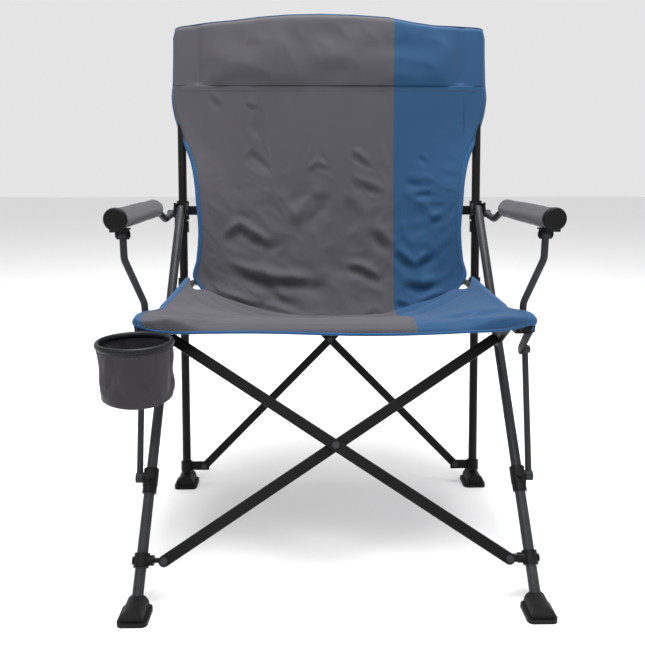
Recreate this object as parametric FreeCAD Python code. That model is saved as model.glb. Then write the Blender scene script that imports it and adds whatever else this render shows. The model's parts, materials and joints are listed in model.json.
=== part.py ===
import FreeCAD, Part
import math
import os

from FreeCAD import Vector

# Folding camp chair. Millimetres, floor at z = 0, front towards -Y, left side is -X.
# Both side frames are alike, so each side piece is built at +X and mirrored for -X.

# ---- driving dimensions -------------------------------------------------------------
HALF_SPAN = 320.0           # centre plane to the plane of one side's upright and leg
RECLINE_DEG = 9.0           # upright leans back from vertical
REAR_FOOT_Y = 470.0         # upright axis on the floor, behind the front leg axis
UPRIGHT_TOP = 985.0         # along the upright
BRACKET_AT = 607.5          # sliding bracket, along the upright, chair open
REAR_TAB_AT = 42.0          # lower pins of the rear cross bars, along the upright
RAIL_REAR_AT = 450.0        # rear pivot of the seat rail, along the upright
TUBE_R = 9.0                # uprights and legs
TUBE_WALL = 1.5
RAIL_R = 6.5
ROD_R = 5.5                 # strut
POST_R = 6.0
ARM_R = 7.0
PAD_R = 18.0
FRONT_BAR_HEIGHT = 19.0
REAR_BAR_HEIGHT = 17.0
BAR_THICK = 7.0
TAB_THICK = 4.0
PIN_R = 3.0
STUD_R = 4.0
COLLAR_WALL = 3.5
SLEEVE_WALL = 4.0
CLEAR = 0.3                 # between faces that move past each other
LANE_GAP = 4.0              # between the lanes that fold past each other beside a leg
RUNNING = 0.05              # radial clearance of a pin in its hole
SLIDING = 0.35              # radial clearance of a sleeve that slides on a tube
FABRIC = 2.0
CUP_R = 56.0
CUP_DEPTH = 104.0
POCKET_LENGTH = 117.0       # back pocket over the top of each upright

# side view positions (y, z)
RAIL_FRONT = (161.0, 436.0)
YOKE_TOP = (224.0, 391.0)
STRUT_TOP = (217.0, 378.0)
POST_TOP = (196.0, 584.0)
POST_FOOT = (200.0, 466.0)
POST_BEND = (195.0, 543.0)
PAD_Z = 612.0
PAD_FRONT = 160.0
PAD_REAR = 440.0
ARM_NECK = (500.0, 586.0)
SLIDER_Y = 150.0            # leg slider on the leg, chair open
YOKE_LOW_Y = 57.6           # lower yoke pin, on the leg axis
CUP_Y = 66.0
CUP_Z = 432.0
CUP_INSET = 8.0             # cup centre inboard of the side plane
CUP_TAPER = 7.0             # how much narrower the cloth cup is at its bottom
HINGE_BARREL_R = 4.5        # cup ring's hinge barrel
HINGE_PIN_R = 2.0
CLIP_PLATE = 2.0            # cup clip's plate on the front of the hub
BRACKET_HALF = 20.0         # half height of the sliding bracket
SLIDER_HALF = 15.0          # half height of the leg slider
STOP_HALF = 6.0             # half height of the leg's stop collar
CLAMP_HALF = 11.0           # half height of the clamps on uprights and legs
RAIL_CHEEK_R = 11.0         # hub cheek about the rail pin
PIN_CHEEK_R = 9.0           # hub cheek about the yoke and strut pins
HUB_DEPTH = 58.0            # hub, front to back
WEB_THICK = 3.4
CHEEK = 3.5
POST_SOCKET_Z = 418.0       # foot of the arm post in its hub
HEAD_R = 6.0                # rivet heads
HEAD_THICK = 2.0

# ---- derived values -----------------------------------------------------------------
RECLINE = math.radians(RECLINE_DEG)
UP = Vector(0, math.sin(RECLINE), math.cos(RECLINE))
FORWARD = Vector(0, -math.cos(RECLINE), math.sin(RECLINE))
SIDEWAYS = Vector(1, 0, 0)
COLLAR_R = TUBE_R + COLLAR_WALL
SLEEVE_IN = TUBE_R + SLIDING
SLEEVE_R = SLEEVE_IN + SLEEVE_WALL
LEG_FORWARD = TUBE_R + SLEEVE_R + 2.95
RAIL_X = HALF_SPAN - TUBE_R - RAIL_R - LANE_GAP
PIN_X = RAIL_X - RAIL_R - LANE_GAP - FRONT_BAR_HEIGHT / 2 - 0.5
STRUT_X = HALF_SPAN + TUBE_R + ROD_R + LANE_GAP + 0.5
ARM_X = HALF_SPAN + SLEEVE_R + PAD_R + 3.15
CUP_X = HALF_SPAN - CUP_INSET
PIN_INSET = HALF_SPAN - PIN_X
BRACKET_INNER = TUBE_R + CLEAR + 0.4
LEG_PIVOT = Vector(0, REAR_FOOT_Y, 0) + UP * BRACKET_AT + FORWARD * LEG_FORWARD
LEG_LENGTH = math.hypot(LEG_PIVOT.y, LEG_PIVOT.z)
LEG_DIR = Vector(0, LEG_PIVOT.y / LEG_LENGTH, LEG_PIVOT.z / LEG_LENGTH)
RAIL_REAR = (REAR_FOOT_Y + RAIL_REAR_AT * UP.y, RAIL_REAR_AT * UP.z)
ARM_REAR = (RAIL_REAR[0] + POST_TOP[0] - RAIL_FRONT[0],
            RAIL_REAR[1] + POST_TOP[1] - RAIL_FRONT[1])
STRUT_EYE = ROD_R + 0.4     # an eye is a little wider than its rod
POST_EYE = POST_R + 0.4
ARM_EYE = ARM_R + 0.4
STRUT_INNER = STRUT_X - STRUT_EYE
HUB_OUTER = STRUT_INNER - CLEAR
HUB_INNER = RAIL_X - RAIL_R - LANE_GAP
EAR_X = SLEEVE_R + HALF_SPAN + 1.0
ARM_EYE_X = EAR_X + TAB_THICK + CLEAR
HUB_FRONT = RAIL_FRONT[0] - RAIL_CHEEK_R
WEB_Z = RAIL_FRONT[1] + RAIL_R + 1.6
CUP_HINGE = (HUB_FRONT - CLIP_PLATE - HINGE_BARREL_R, CUP_Z)
SLIDER_AT = SLIDER_Y / LEG_DIR.y
YOKE_LOW = (YOKE_LOW_Y, YOKE_LOW_Y * LEG_DIR.z / LEG_DIR.y)

# the plane of the front cross bars, seen from the side
BAR_RISE = Vector(0, YOKE_TOP[0] - YOKE_LOW[0], YOKE_TOP[1] - YOKE_LOW[1])
BAR_UP = Vector(BAR_RISE).normalize()
BAR_OUT = Vector(0, -BAR_UP.z, BAR_UP.y)
YOKE_BARREL_R = 6.5
BACK_LAYER = YOKE_BARREL_R + TAB_THICK + CLEAR
FRONT_LAYER = BACK_LAYER + BAR_THICK + CLEAR

# front and rear limits of the whole chair set the middle of the frame
SHOE_FRONT = 27.0
SHOE_REAR = 25.0
SHOE_WIDTH = 48.0
SHOE_HEIGHT = 28.5
CROWN_AT = UPRIGHT_TOP + 36.0
POCKET_TOP = UPRIGHT_TOP + 10.0
POCKET_FOOT = UPRIGHT_TOP - POCKET_LENGTH
BACK_OF_POCKET = TUBE_R + SLIDING + FABRIC
CUP_FRONT = CUP_Y - CUP_R - 3.0
REAR_LIMIT = REAR_FOOT_Y + POCKET_TOP * UP.y + BACK_OF_POCKET * abs(FORWARD.y)
FRONT_LIMIT = min(-SHOE_FRONT, CUP_FRONT)
MIDDLE_Y = 0.5 * (FRONT_LIMIT + REAR_LIMIT)


# ---- helpers ------------------------------------------------------------------------
def at(x, yz):
    return Vector(x, yz[0], yz[1])


def on_upright(along, forward=0.0, x=HALF_SPAN):
    return Vector(x, REAR_FOOT_Y, 0) + UP * along + FORWARD * forward


def on_leg(along, x=HALF_SPAN):
    return Vector(x, 0, 0) + LEG_DIR * along


def rod(start, end, radius):
    line = end - start
    return Part.makeCylinder(radius, line.Length, start, line)


def cross_rod(yz, radius, x0, x1):
    return Part.makeCylinder(radius, x1 - x0, at(x0, yz), SIDEWAYS)


def ring(start, end, outer, inner):
    return rod(start, end, outer).cut(rod(start, end, inner))


def union(shapes):
    result = shapes[0]
    for shape in shapes[1:]:
        result = result.fuse(shape)
    return result.removeSplitter()


def slab(corner, size):
    return Part.makeBox(size[0], size[1], size[2], Vector(*corner))


def bent_rod(points, radius, bend):
    """Straight runs joined by arcs of one bend radius."""
    pieces = []
    start = points[0]
    for before, corner, after in zip(points, points[1:], points[2:]):
        back = (before - corner).normalize()
        ahead = (after - corner).normalize()
        half = 0.5 * back.getAngle(ahead)
        reach = bend / math.tan(half)
        first = corner + back * reach
        last = corner + ahead * reach
        centre = corner + (back + ahead).normalize() * (bend / math.sin(half))
        pieces.append(rod(start, first, radius))
        disc = Part.Face(Part.Wire(Part.makeCircle(radius, first, back)))
        turn = 180.0 - math.degrees(2 * half)
        pieces.append(disc.revolve(centre, ahead.cross(back), turn))
        start = last
    pieces.append(rod(start, points[-1], radius))
    return union(pieces)


def framed(shape, origin, x_axis, z_axis):
    """Move a shape drawn about the origin to a local frame."""
    y_axis = z_axis.cross(x_axis)
    matrix = FreeCAD.Matrix(
        x_axis.x, y_axis.x, z_axis.x, origin.x,
        x_axis.y, y_axis.y, z_axis.y, origin.y,
        x_axis.z, y_axis.z, z_axis.z, origin.z,
        0, 0, 0, 1)
    placed = shape.copy()
    placed.Placement = FreeCAD.Placement(matrix)
    return placed


def link_plate(a, b, ra, rb, x0, x1):
    """Plate across x with round ends about two side-view points."""
    start = at(x0, a)
    end = at(x0, b)
    along = (end - start).normalize()
    across = Vector(0, -along.z, along.y)
    corners = [start + across * ra, end + across * rb, end - across * rb, start - across * ra]
    middle = Part.Face(Part.makePolygon(corners + corners[:1])).extrude(SIDEWAYS * (x1 - x0))
    return union([middle, cross_rod(a, ra, x0, x1), cross_rod(b, rb, x0, x1)])


# ---- uprights and what is fixed to them -----------------------------------------------
def back_upright():
    start = on_upright(12)
    return ring(start, on_upright(UPRIGHT_TOP), TUBE_R, TUBE_R - TUBE_WALL)


def upright_cap():
    base = on_upright(UPRIGHT_TOP)
    plug = rod(base - UP * 14, base, TUBE_R - TUBE_WALL)
    head = rod(base, base + UP * 4, TUBE_R)
    return union([plug, head])


def shoe(y, tube_dir, tube_start):
    """Moulded shoe: wide flange, half-round body, socket for the tube."""
    width = 36.0
    flange = slab((HALF_SPAN - SHOE_WIDTH / 2, y - SHOE_FRONT, 0),
                  (SHOE_WIDTH, SHOE_FRONT + SHOE_REAR, 7))
    uprights = [e for e in flange.Edges if abs(e.tangentAt(e.FirstParameter).z) > 0.9]
    flange = flange.makeFillet(9, uprights)
    length = SHOE_FRONT + SHOE_REAR - 8
    front = y - SHOE_FRONT + 4
    top_r = width / 2
    block = slab((HALF_SPAN - top_r, front, 0), (width, length, SHOE_HEIGHT - top_r))
    dome = Part.makeCylinder(top_r, length, Vector(HALF_SPAN, front, SHOE_HEIGHT - top_r),
                             Vector(0, 1, 0))
    dome = dome.common(slab((HALF_SPAN - top_r, front, 0), (width, length, SHOE_HEIGHT)))
    body = union([flange, block, dome])
    socket = rod(tube_start, tube_start + tube_dir * 80, TUBE_R)
    return body.cut(socket)


def rear_foot():
    return shoe(REAR_FOOT_Y, UP, on_upright(12))


def front_foot():
    return shoe(0.0, LEG_DIR, on_leg(16))


def collar(centre, axis, half, outer, bore):
    return ring(centre - axis * half, centre + axis * half, outer, bore)


def rear_tab():
    centre = on_upright(REAR_TAB_AT)
    half = 9.5
    clamp = collar(centre, UP, half + 1, COLLAR_R, TUBE_R)
    reach = PIN_INSET + half
    ear = slab((-reach, -TAB_THICK / 2, -half), (reach, TAB_THICK, 2 * half))
    ear = framed(ear, centre, SIDEWAYS, UP)
    ear = ear.cut(rod(centre - UP * 20, centre + UP * 20, TUBE_R))
    pin = rod(on_upright(REAR_TAB_AT, -9, PIN_X), on_upright(REAR_TAB_AT, 9, PIN_X), PIN_R)
    return union([clamp, ear]).cut(pin)


def rail_mount():
    centre = at(HALF_SPAN, RAIL_REAR)
    clamp = collar(centre, UP, CLAMP_HALF, COLLAR_R, TUBE_R)
    flat = RAIL_X + RAIL_R + CLEAR
    boss = cross_rod(RAIL_REAR, 9, flat, HALF_SPAN)
    boss = boss.cut(rod(centre - UP * 20, centre + UP * 20, TUBE_R))
    keep = slab((flat, 400, 300), (60, 300, 300))
    return union([clamp, boss]).common(keep).cut(cross_rod(RAIL_REAR, STUD_R, flat, HALF_SPAN))


def arm_mount():
    along = BRACKET_AT - BRACKET_HALF - 15
    centre = on_upright(along)
    clamp = collar(centre, UP, 12, COLLAR_R, TUBE_R)
    low = on_upright(along, -6)
    link = link_plate((low.y, low.z), ARM_REAR, 9, 9, EAR_X, EAR_X + TAB_THICK)
    bridge = slab((HALF_SPAN, low.y - 8, low.z - 8), (EAR_X - HALF_SPAN + TAB_THICK, 16, 16))
    bridge = bridge.cut(rod(centre - UP * 30, centre + UP * 30, TUBE_R))
    hole = cross_rod(ARM_REAR, STUD_R, EAR_X - 5, EAR_X + 20)
    return union([clamp, bridge, link]).cut(hole)


def headed(yz, radius, x0, x1, head_low, head_high):
    """Pin across x; either end may carry a head."""
    pieces = [cross_rod(yz, radius, x0, x1)]
    if head_low:
        pieces.append(cross_rod(yz, radius + 2.5, x0 - HEAD_THICK, x0))
    if head_high:
        pieces.append(cross_rod(yz, radius + 2.5, x1, x1 + HEAD_THICK))
    return union(pieces)


def layered_rivet(centre, normal, back, front):
    """Rivet along a bar plane's normal with a head outside each end."""
    shank = rod(centre + normal * back, centre + normal * front, PIN_R)
    front_head = rod(centre + normal * front, centre + normal * (front + HEAD_THICK), HEAD_R)
    back_head = rod(centre + normal * (back - HEAD_THICK), centre + normal * back, HEAD_R)
    return union([shank, front_head, back_head])


def pins_upright(side_layer):
    flat = RAIL_X + RAIL_R + CLEAR
    rail_stud = headed(RAIL_REAR, STUD_R, RAIL_X - RAIL_R - CLEAR, flat + 1.5, True, False)
    arm_stud = headed(ARM_REAR, STUD_R, EAR_X, ARM_EYE_X + 2 * ARM_EYE + CLEAR, False, True)
    bar_pin = rear_pin(REAR_TAB_AT, side_layer)
    return Part.makeCompound([rail_stud, arm_stud, bar_pin])


def rear_pin(along, layer):
    outer = TAB_THICK / 2 + CLEAR + BAR_THICK + CLEAR
    inner = TAB_THICK / 2
    return layered_rivet(on_upright(along, 0, PIN_X), FORWARD * layer, -inner, outer)


# ---- sliding bracket --------------------------------------------------------------------
def slider_bracket():
    low = on_upright(BRACKET_AT - BRACKET_HALF)
    high = on_upright(BRACKET_AT + BRACKET_HALF)
    sleeve = rod(low, high, SLEEVE_R)
    centre = on_upright(BRACKET_AT)
    reach = LEG_FORWARD + 11
    cheeks = [framed(slab((x, -reach, -13), (COLLAR_WALL, reach, 26)), centre, SIDEWAYS, UP)
              for x in (BRACKET_INNER, -BRACKET_INNER - COLLAR_WALL)]
    ear_reach = PIN_INSET + 9.5
    ear = slab((-ear_reach, -TAB_THICK / 2, -9.5), (ear_reach, TAB_THICK, 19))
    ear = framed(ear, centre, SIDEWAYS, UP)
    body = union([sleeve, ear] + cheeks)
    body = body.cut(rod(low - UP, high + UP, SLEEVE_IN))
    leg_pin = cross_rod((LEG_PIVOT.y, LEG_PIVOT.z), PIN_R, HALF_SPAN - 30, HALF_SPAN + 30)
    bar_pin = rod(on_upright(BRACKET_AT, -9, PIN_X), on_upright(BRACKET_AT, 9, PIN_X), PIN_R)
    return body.cut(leg_pin).cut(bar_pin)


def pins_bracket(side_layer):
    reach = BRACKET_INNER + COLLAR_WALL
    pivot = (LEG_PIVOT.y, LEG_PIVOT.z)
    leg_pin = headed(pivot, PIN_R, HALF_SPAN - reach, HALF_SPAN + reach, True, True)
    return Part.makeCompound([leg_pin, rear_pin(BRACKET_AT, side_layer)])


# ---- front leg --------------------------------------------------------------------------
def front_leg():
    outer = union([rod(on_leg(16), on_leg(LEG_LENGTH), TUBE_R),
                   Part.makeSphere(TUBE_R, on_leg(LEG_LENGTH))])
    bore = rod(on_leg(16), on_leg(LEG_LENGTH - 14), TUBE_R - TUBE_WALL)
    pivot = (LEG_PIVOT.y, LEG_PIVOT.z)
    hole = cross_rod(pivot, PIN_R + RUNNING, HALF_SPAN - 20, HALF_SPAN + 20)
    yoke_hole = cross_rod(YOKE_LOW, STUD_R, HALF_SPAN - 20, HALF_SPAN + 20)
    return outer.cut(bore).cut(hole).cut(yoke_hole)


def leg_slider():
    low = on_leg(SLIDER_AT - SLIDER_HALF)
    high = on_leg(SLIDER_AT + SLIDER_HALF)
    centre = on_leg(SLIDER_AT)
    yz = (centre.y, centre.z)
    sleeve = rod(low, high, SLEEVE_R - 0.5)
    outer_boss = cross_rod(yz, 9, HALF_SPAN, STRUT_INNER - CLEAR)
    outwards = Vector(0, -LEG_DIR.z, LEG_DIR.y)
    knob = rod(centre, centre + outwards * (SLEEVE_R + 4), 7.5)
    return union([sleeve, outer_boss, knob]).cut(rod(low - LEG_DIR, high + LEG_DIR, SLEEVE_IN))


def leg_stop_collar():
    centre = on_leg(SLIDER_AT - SLIDER_HALF - CLEAR - STOP_HALF)
    return collar(centre, LEG_DIR, STOP_HALF, COLLAR_R - 0.5, TUBE_R)


def front_tab_mount():
    centre = on_leg(YOKE_LOW_Y / LEG_DIR.y)
    clamp = collar(centre, LEG_DIR, CLAMP_HALF, COLLAR_R, TUBE_R)
    boss = cross_rod(YOKE_LOW, 8.5, PIN_X + 20, HALF_SPAN)
    boss = boss.cut(rod(centre - LEG_DIR * 30, centre + LEG_DIR * 30, TUBE_R))
    body = union([clamp, boss])
    body = body.cut(cross_rod(YOKE_LOW, STUD_R, PIN_X, HALF_SPAN + 30))
    stud = headed(YOKE_LOW, STUD_R, PIN_X + 2, HALF_SPAN + COLLAR_R, True, True)
    return union([body, stud])


def yoke(pivot, barrel, tongue_front):
    """Barrel turning about x, with a tongue lying behind the cross bar's end."""
    x0, x1 = barrel
    centre = at(PIN_X, pivot)
    shell = cross_rod(pivot, YOKE_BARREL_R, x0, x1)
    tongue_back = tongue_front - TAB_THICK
    half = 9.0
    tongue = rod(centre + BAR_OUT * tongue_back, centre + BAR_OUT * tongue_front, half)
    neck = slab((0, -tongue_front, -YOKE_BARREL_R + 1), (x1 - x0, tongue_front, 2 * YOKE_BARREL_R - 2))
    neck = framed(neck, at(x0, pivot), SIDEWAYS, BAR_UP)
    hole = cross_rod(pivot, STUD_R + RUNNING, x0 - 5, x1 + 5)
    head_room = cross_rod(pivot, YOKE_BARREL_R + 0.2, x0 - 12, x0)
    return union([shell, tongue, neck]).cut(hole).cut(head_room)


def upper_yoke(layer):
    body = yoke(YOKE_TOP, (PIN_X + 2, HUB_INNER - CLEAR), layer - CLEAR)
    centre = at(PIN_X, YOKE_TOP)
    shank_only = rod(centre + BAR_OUT * (layer - CLEAR - TAB_THICK),
                     centre + BAR_OUT * (layer + BAR_THICK + CLEAR), PIN_R)
    head = rod(centre + BAR_OUT * (layer + BAR_THICK + CLEAR),
               centre + BAR_OUT * (layer + BAR_THICK + CLEAR + HEAD_THICK), HEAD_R)
    return union([body, shank_only, head])


def lower_yoke(layer):
    return yoke(YOKE_LOW, (PIN_X + 2 + CLEAR, PIN_X + 20 - CLEAR), layer - CLEAR)


# ---- hub, post and strut ----------------------------------------------------------------
def front_hub():
    """Moulded corner: two cheeks for the pins, a web over the rail, a socket for the post."""
    inner = link_plate(RAIL_FRONT, YOKE_TOP, RAIL_CHEEK_R, PIN_CHEEK_R, HUB_INNER, HUB_INNER + CHEEK)
    outer = link_plate(RAIL_FRONT, STRUT_TOP, RAIL_CHEEK_R, PIN_CHEEK_R, HUB_OUTER - CHEEK, HUB_OUTER)
    web = slab((HUB_INNER, HUB_FRONT, WEB_Z), (HUB_OUTER - HUB_INNER, HUB_DEPTH, WEB_THICK))
    solid_x = HALF_SPAN - TUBE_R
    solid_width = HUB_OUTER - solid_x
    block_z = POST_SOCKET_Z - 4
    block_depth = 22.0
    block = slab((solid_x, HUB_FRONT + HUB_DEPTH - block_depth, block_z),
                 (solid_width, block_depth, WEB_Z + WEB_THICK - block_z))
    front_z = RAIL_FRONT[1] - RAIL_CHEEK_R
    front = slab((solid_x, HUB_FRONT, front_z), (solid_width, RAIL_CHEEK_R, WEB_Z - front_z))
    body = union([inner, outer, web, block, front])
    rail_pin = cross_rod(RAIL_FRONT, STUD_R, HUB_INNER - 1, HUB_OUTER + 1)
    post_hole = rod(at(post_x_low(), (POST_FOOT[0], POST_SOCKET_Z)), at(post_x_low(), POST_FOOT), POST_R)
    strut_hole = cross_rod(STRUT_TOP, STUD_R, HUB_OUTER - CHEEK - 1, HUB_OUTER + 1)
    yoke_hole = cross_rod(YOKE_TOP, STUD_R, HUB_INNER - 1, HUB_INNER + CHEEK + 1)
    return body.cut(rail_pin).cut(post_hole).cut(strut_hole).cut(yoke_hole)


def pins_hub():
    rail_pin = headed(RAIL_FRONT, STUD_R, HUB_INNER, HUB_OUTER, False, True)
    strut_pin = headed(STRUT_TOP, STUD_R, HUB_OUTER - CHEEK, STRUT_X + STRUT_EYE + CLEAR, False, True)
    yoke_pin = headed(YOKE_TOP, STUD_R, PIN_X + 2 - CLEAR, HUB_INNER + CHEEK, True, False)
    return Part.makeCompound([rail_pin, strut_pin, yoke_pin])


def post_x_low():
    return HUB_OUTER - POST_R - 1.0


def arm_post():
    low_x = post_x_low()
    points = [at(low_x, (POST_FOOT[0], POST_SOCKET_Z)), at(low_x, POST_FOOT),
              at(ARM_X, POST_BEND), at(ARM_X, POST_TOP)]
    rod_part = bent_rod(points, POST_R, 30)
    eye = cross_rod(POST_TOP, POST_R + 1.0, ARM_X - POST_EYE, ARM_X + POST_EYE)
    hole = cross_rod(POST_TOP, PIN_R + RUNNING, ARM_X - 20, ARM_X + 20)
    return union([rod_part, eye]).cut(hole)


def strut():
    foot = (SLIDER_Y, on_leg(SLIDER_AT).z)
    low = at(STRUT_X, foot)
    high = at(STRUT_X, STRUT_TOP)
    keep = slab((STRUT_INNER, 0, 0), (2 * STRUT_EYE, 500, 600))
    ball = Part.makeSphere(9.5, high).common(keep)
    eye = cross_rod(foot, 9, STRUT_INNER, STRUT_INNER + 2 * STRUT_EYE)
    hole = cross_rod(STRUT_TOP, STUD_R + RUNNING, STRUT_X - 20, STRUT_X + 20)
    return union([rod(low, high, ROD_R), eye, ball]).cut(hole)


# ---- seat rail and arm --------------------------------------------------------------------
def seat_rail():
    front = at(RAIL_X, RAIL_FRONT)
    rear = at(RAIL_X, RAIL_REAR)
    along = (rear - front).normalize()
    outer = union([rod(front, rear, RAIL_R), Part.makeSphere(RAIL_R, front),
                   Part.makeSphere(RAIL_R, rear)])
    bore = rod(front + along * 14, rear - along * 14, RAIL_R - TUBE_WALL)
    body = outer.cut(bore)
    for yz in (RAIL_FRONT, RAIL_REAR):
        body = body.cut(cross_rod(yz, STUD_R + RUNNING, RAIL_X - 20, RAIL_X + 20))
    return body


def arm_tube():
    rear_x = ARM_EYE_X + ARM_EYE
    points = [at(rear_x, ARM_REAR), at(rear_x, ARM_NECK), Vector(ARM_X, 452, PAD_Z),
              Vector(ARM_X, PAD_FRONT, PAD_Z)]
    body = bent_rod(points, ARM_R, 24)
    eye = cross_rod(ARM_REAR, ARM_R + 1.5, rear_x - ARM_EYE, rear_x + ARM_EYE)
    hole = cross_rod(ARM_REAR, STUD_R + RUNNING, rear_x - 20, rear_x + 20)
    return union([body, eye]).cut(hole)


def arm_pad():
    body = ring(Vector(ARM_X, PAD_FRONT, PAD_Z), Vector(ARM_X, PAD_REAR, PAD_Z), PAD_R, ARM_R)
    rims = [e for e in body.Edges
            if e.Curve.TypeId == "Part::GeomCircle" and e.Curve.Radius > PAD_R - 0.1]
    return body.makeFillet(4, rims)


def arm_front_bracket():
    """End cap of the pad with the bracket that hangs under it and holds the post."""
    cap = rod(Vector(ARM_X, PAD_FRONT - 9, PAD_Z), Vector(ARM_X, PAD_FRONT, PAD_Z), PAD_R + 1)
    cap = cap.makeFillet(4, [e for e in cap.Edges if abs(e.CenterOfMass.y - PAD_FRONT + 9) < 0.01])
    gap = POST_EYE + CLEAR
    under_z = PAD_Z - PAD_R
    shelf_thick = 2.4
    shelf = slab((ARM_X - 10, PAD_FRONT - 6, under_z - shelf_thick), (20, 58, shelf_thick))
    front = slab((ARM_X - 10, PAD_FRONT - 6, under_z - shelf_thick), (20, 6, 12))
    cheeks = [link_plate(POST_TOP, (POST_TOP[0], under_z - 2), 8, 8, x, x + 3)
              for x in (ARM_X - gap - 3, ARM_X + gap)]
    below = slab((ARM_X - 12, 0, 0), (24, 400, under_z))
    cheeks = [cheek.common(below) for cheek in cheeks]
    pin = headed(POST_TOP, PIN_R, ARM_X - gap - 3, ARM_X + gap + 3, True, True)
    return union([cap, shelf, front, pin] + cheeks)


# ---- cross bars -----------------------------------------------------------------------------
def flat_bar(low, high, normal, height, bores):
    """Flat oval bar between two pin centres, on its back face, grown along the normal."""
    along = high - low
    length = along.Length
    along.normalize()
    half = height / 2
    plate = slab((0, 0, -half), (length, BAR_THICK, height))
    ends = [Part.makeCylinder(half, BAR_THICK, Vector(x, 0, 0), Vector(0, 1, 0)) for x in (0, length)]
    body = union([plate] + ends)
    rims = [e for e in body.Edges if abs(e.tangentAt(e.FirstParameter).y) < 0.5]
    body = body.makeFillet(2.4, rims)
    for x, radius in zip((0, length / 2, length), bores):
        body = body.cut(Part.makeCylinder(radius, BAR_THICK, Vector(x, 0, 0), Vector(0, 1, 0)))
    return framed(body, low, along, along.cross(normal))


def rear_bar(layer, left_low):
    sign = -1.0 if left_low else 1.0
    offset = TAB_THICK / 2 + CLEAR if layer > 0 else -TAB_THICK / 2 - CLEAR - BAR_THICK
    low = on_upright(REAR_TAB_AT, offset, sign * PIN_X)
    high = on_upright(BRACKET_AT, offset, -sign * PIN_X)
    centre = PIN_R if layer > 0 else PIN_R + RUNNING
    bores = (PIN_R + RUNNING, centre, PIN_R + RUNNING)
    return flat_bar(low, high, FORWARD, REAR_BAR_HEIGHT, bores)


def rear_centre_rivet():
    middle = 0.5 * (REAR_TAB_AT + BRACKET_AT)
    centre = on_upright(middle, 0, 0)
    front = TAB_THICK / 2 + CLEAR + BAR_THICK
    rivet = layered_rivet(centre, FORWARD, -front - CLEAR, front)
    spacer = rod(centre - FORWARD * (TAB_THICK / 2), centre + FORWARD * (TAB_THICK / 2 + CLEAR), 7)
    return union([rivet, spacer])


def front_bar(layer, left_high):
    sign = -1.0 if left_high else 1.0
    low = at(-sign * PIN_X, YOKE_LOW) + BAR_OUT * layer
    high = at(sign * PIN_X, YOKE_TOP) + BAR_OUT * layer
    return flat_bar(low, high, BAR_OUT, FRONT_BAR_HEIGHT, (PIN_R, PIN_R, PIN_R + RUNNING))


def pins_front_bar(layer, left_high, head_side):
    sign = -1.0 if left_high else 1.0
    middle = ((YOKE_TOP[0] + YOKE_LOW[0]) / 2, (YOKE_TOP[1] + YOKE_LOW[1]) / 2)
    pins = []
    for centre, side in ((at(-sign * PIN_X, YOKE_LOW), 1), (at(0, middle), head_side)):
        back = centre + BAR_OUT * layer
        face = centre + BAR_OUT * (layer + BAR_THICK)
        shank = rod(back, face, PIN_R)
        start = face if side > 0 else back - BAR_OUT * HEAD_THICK
        pins.append(union([shank, rod(start, start + BAR_OUT * HEAD_THICK, HEAD_R)]))
    return Part.makeCompound(pins)


# ---- fabric ---------------------------------------------------------------------------------
def surface(rows):
    sheet = Part.BSplineSurface()
    sheet.interpolate(rows)
    return sheet.toShape()


def seat_sling():
    """Hung between the rails, lowest along its middle, with a dropped front lip."""
    edge = RAIL_X + RAIL_R + 1.0
    inside = RAIL_X - RAIL_R - 1.0
    slope = (RAIL_REAR[1] - RAIL_FRONT[1]) / (RAIL_REAR[0] - RAIL_FRONT[0])
    rows = []
    for y, sag in ((153, 25), (170, 27), (240, 33), (330, 40), (420, 44), (492, 45)):
        edge_z = RAIL_FRONT[1] + RAIL_R + 6.0 + slope * (y - RAIL_FRONT[0])
        row = [Vector(-edge, y, edge_z)]
        for k in range(-6, 7):
            share = k / 6
            row.append(Vector(share * inside, y, edge_z - sag * (1 - share ** 4)))
        row.append(Vector(edge, y, edge_z))
        rows.append(row)
    return surface(rows).extrude(Vector(0, 0, FABRIC))


def back_panel():
    """Hung from pockets over the upright tops, slack below them."""
    rows = []
    for along, width, centre_n, edge_n in ((UPRIGHT_TOP - 570, 0.819, 42, 30),
                                           (UPRIGHT_TOP - 485, 0.881, 26, 24),
                                           (UPRIGHT_TOP - 385, 0.872, 16, 30),
                                           (UPRIGHT_TOP - 265, 0.884, 10, 24),
                                           (UPRIGHT_TOP - 155, 0.912, 8, 17),
                                           (POCKET_FOOT, 0.938, 8, 13.5),
                                           (UPRIGHT_TOP, 0.938, 8, 13.5),
                                           (CROWN_AT, 0.925, 8, 12.5)):
        row = []
        for k in range(-6, 7):
            share = k / 6
            forward = centre_n + (edge_n - centre_n) * share ** 2
            row.append(on_upright(along, forward, share * width * HALF_SPAN))
        rows.append(row)
    panel = surface(rows).extrude(-FORWARD * FABRIC)
    inner = TUBE_R + SLIDING
    pockets = []
    for sign in (-1, 1):
        low = on_upright(POCKET_FOOT, 0, sign * HALF_SPAN)
        high = on_upright(POCKET_TOP, 0, sign * HALF_SPAN)
        pocket = rod(low, high, inner + FABRIC).cut(rod(low, high - UP * FABRIC, inner))
        tie_front = inner + FABRIC + 3.15
        tie_width = 0.075 * HALF_SPAN
        tie = slab((-tie_width if sign > 0 else 0, -tie_front, POCKET_FOOT),
                   (tie_width, 4, POCKET_LENGTH + 3))
        tie = framed(tie, Vector(sign * HALF_SPAN, REAR_FOOT_Y, 0), SIDEWAYS, UP)
        pockets.append(pocket.fuse(tie).cut(rod(low, high - UP * FABRIC, inner)))
    return union([panel] + pockets)


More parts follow.
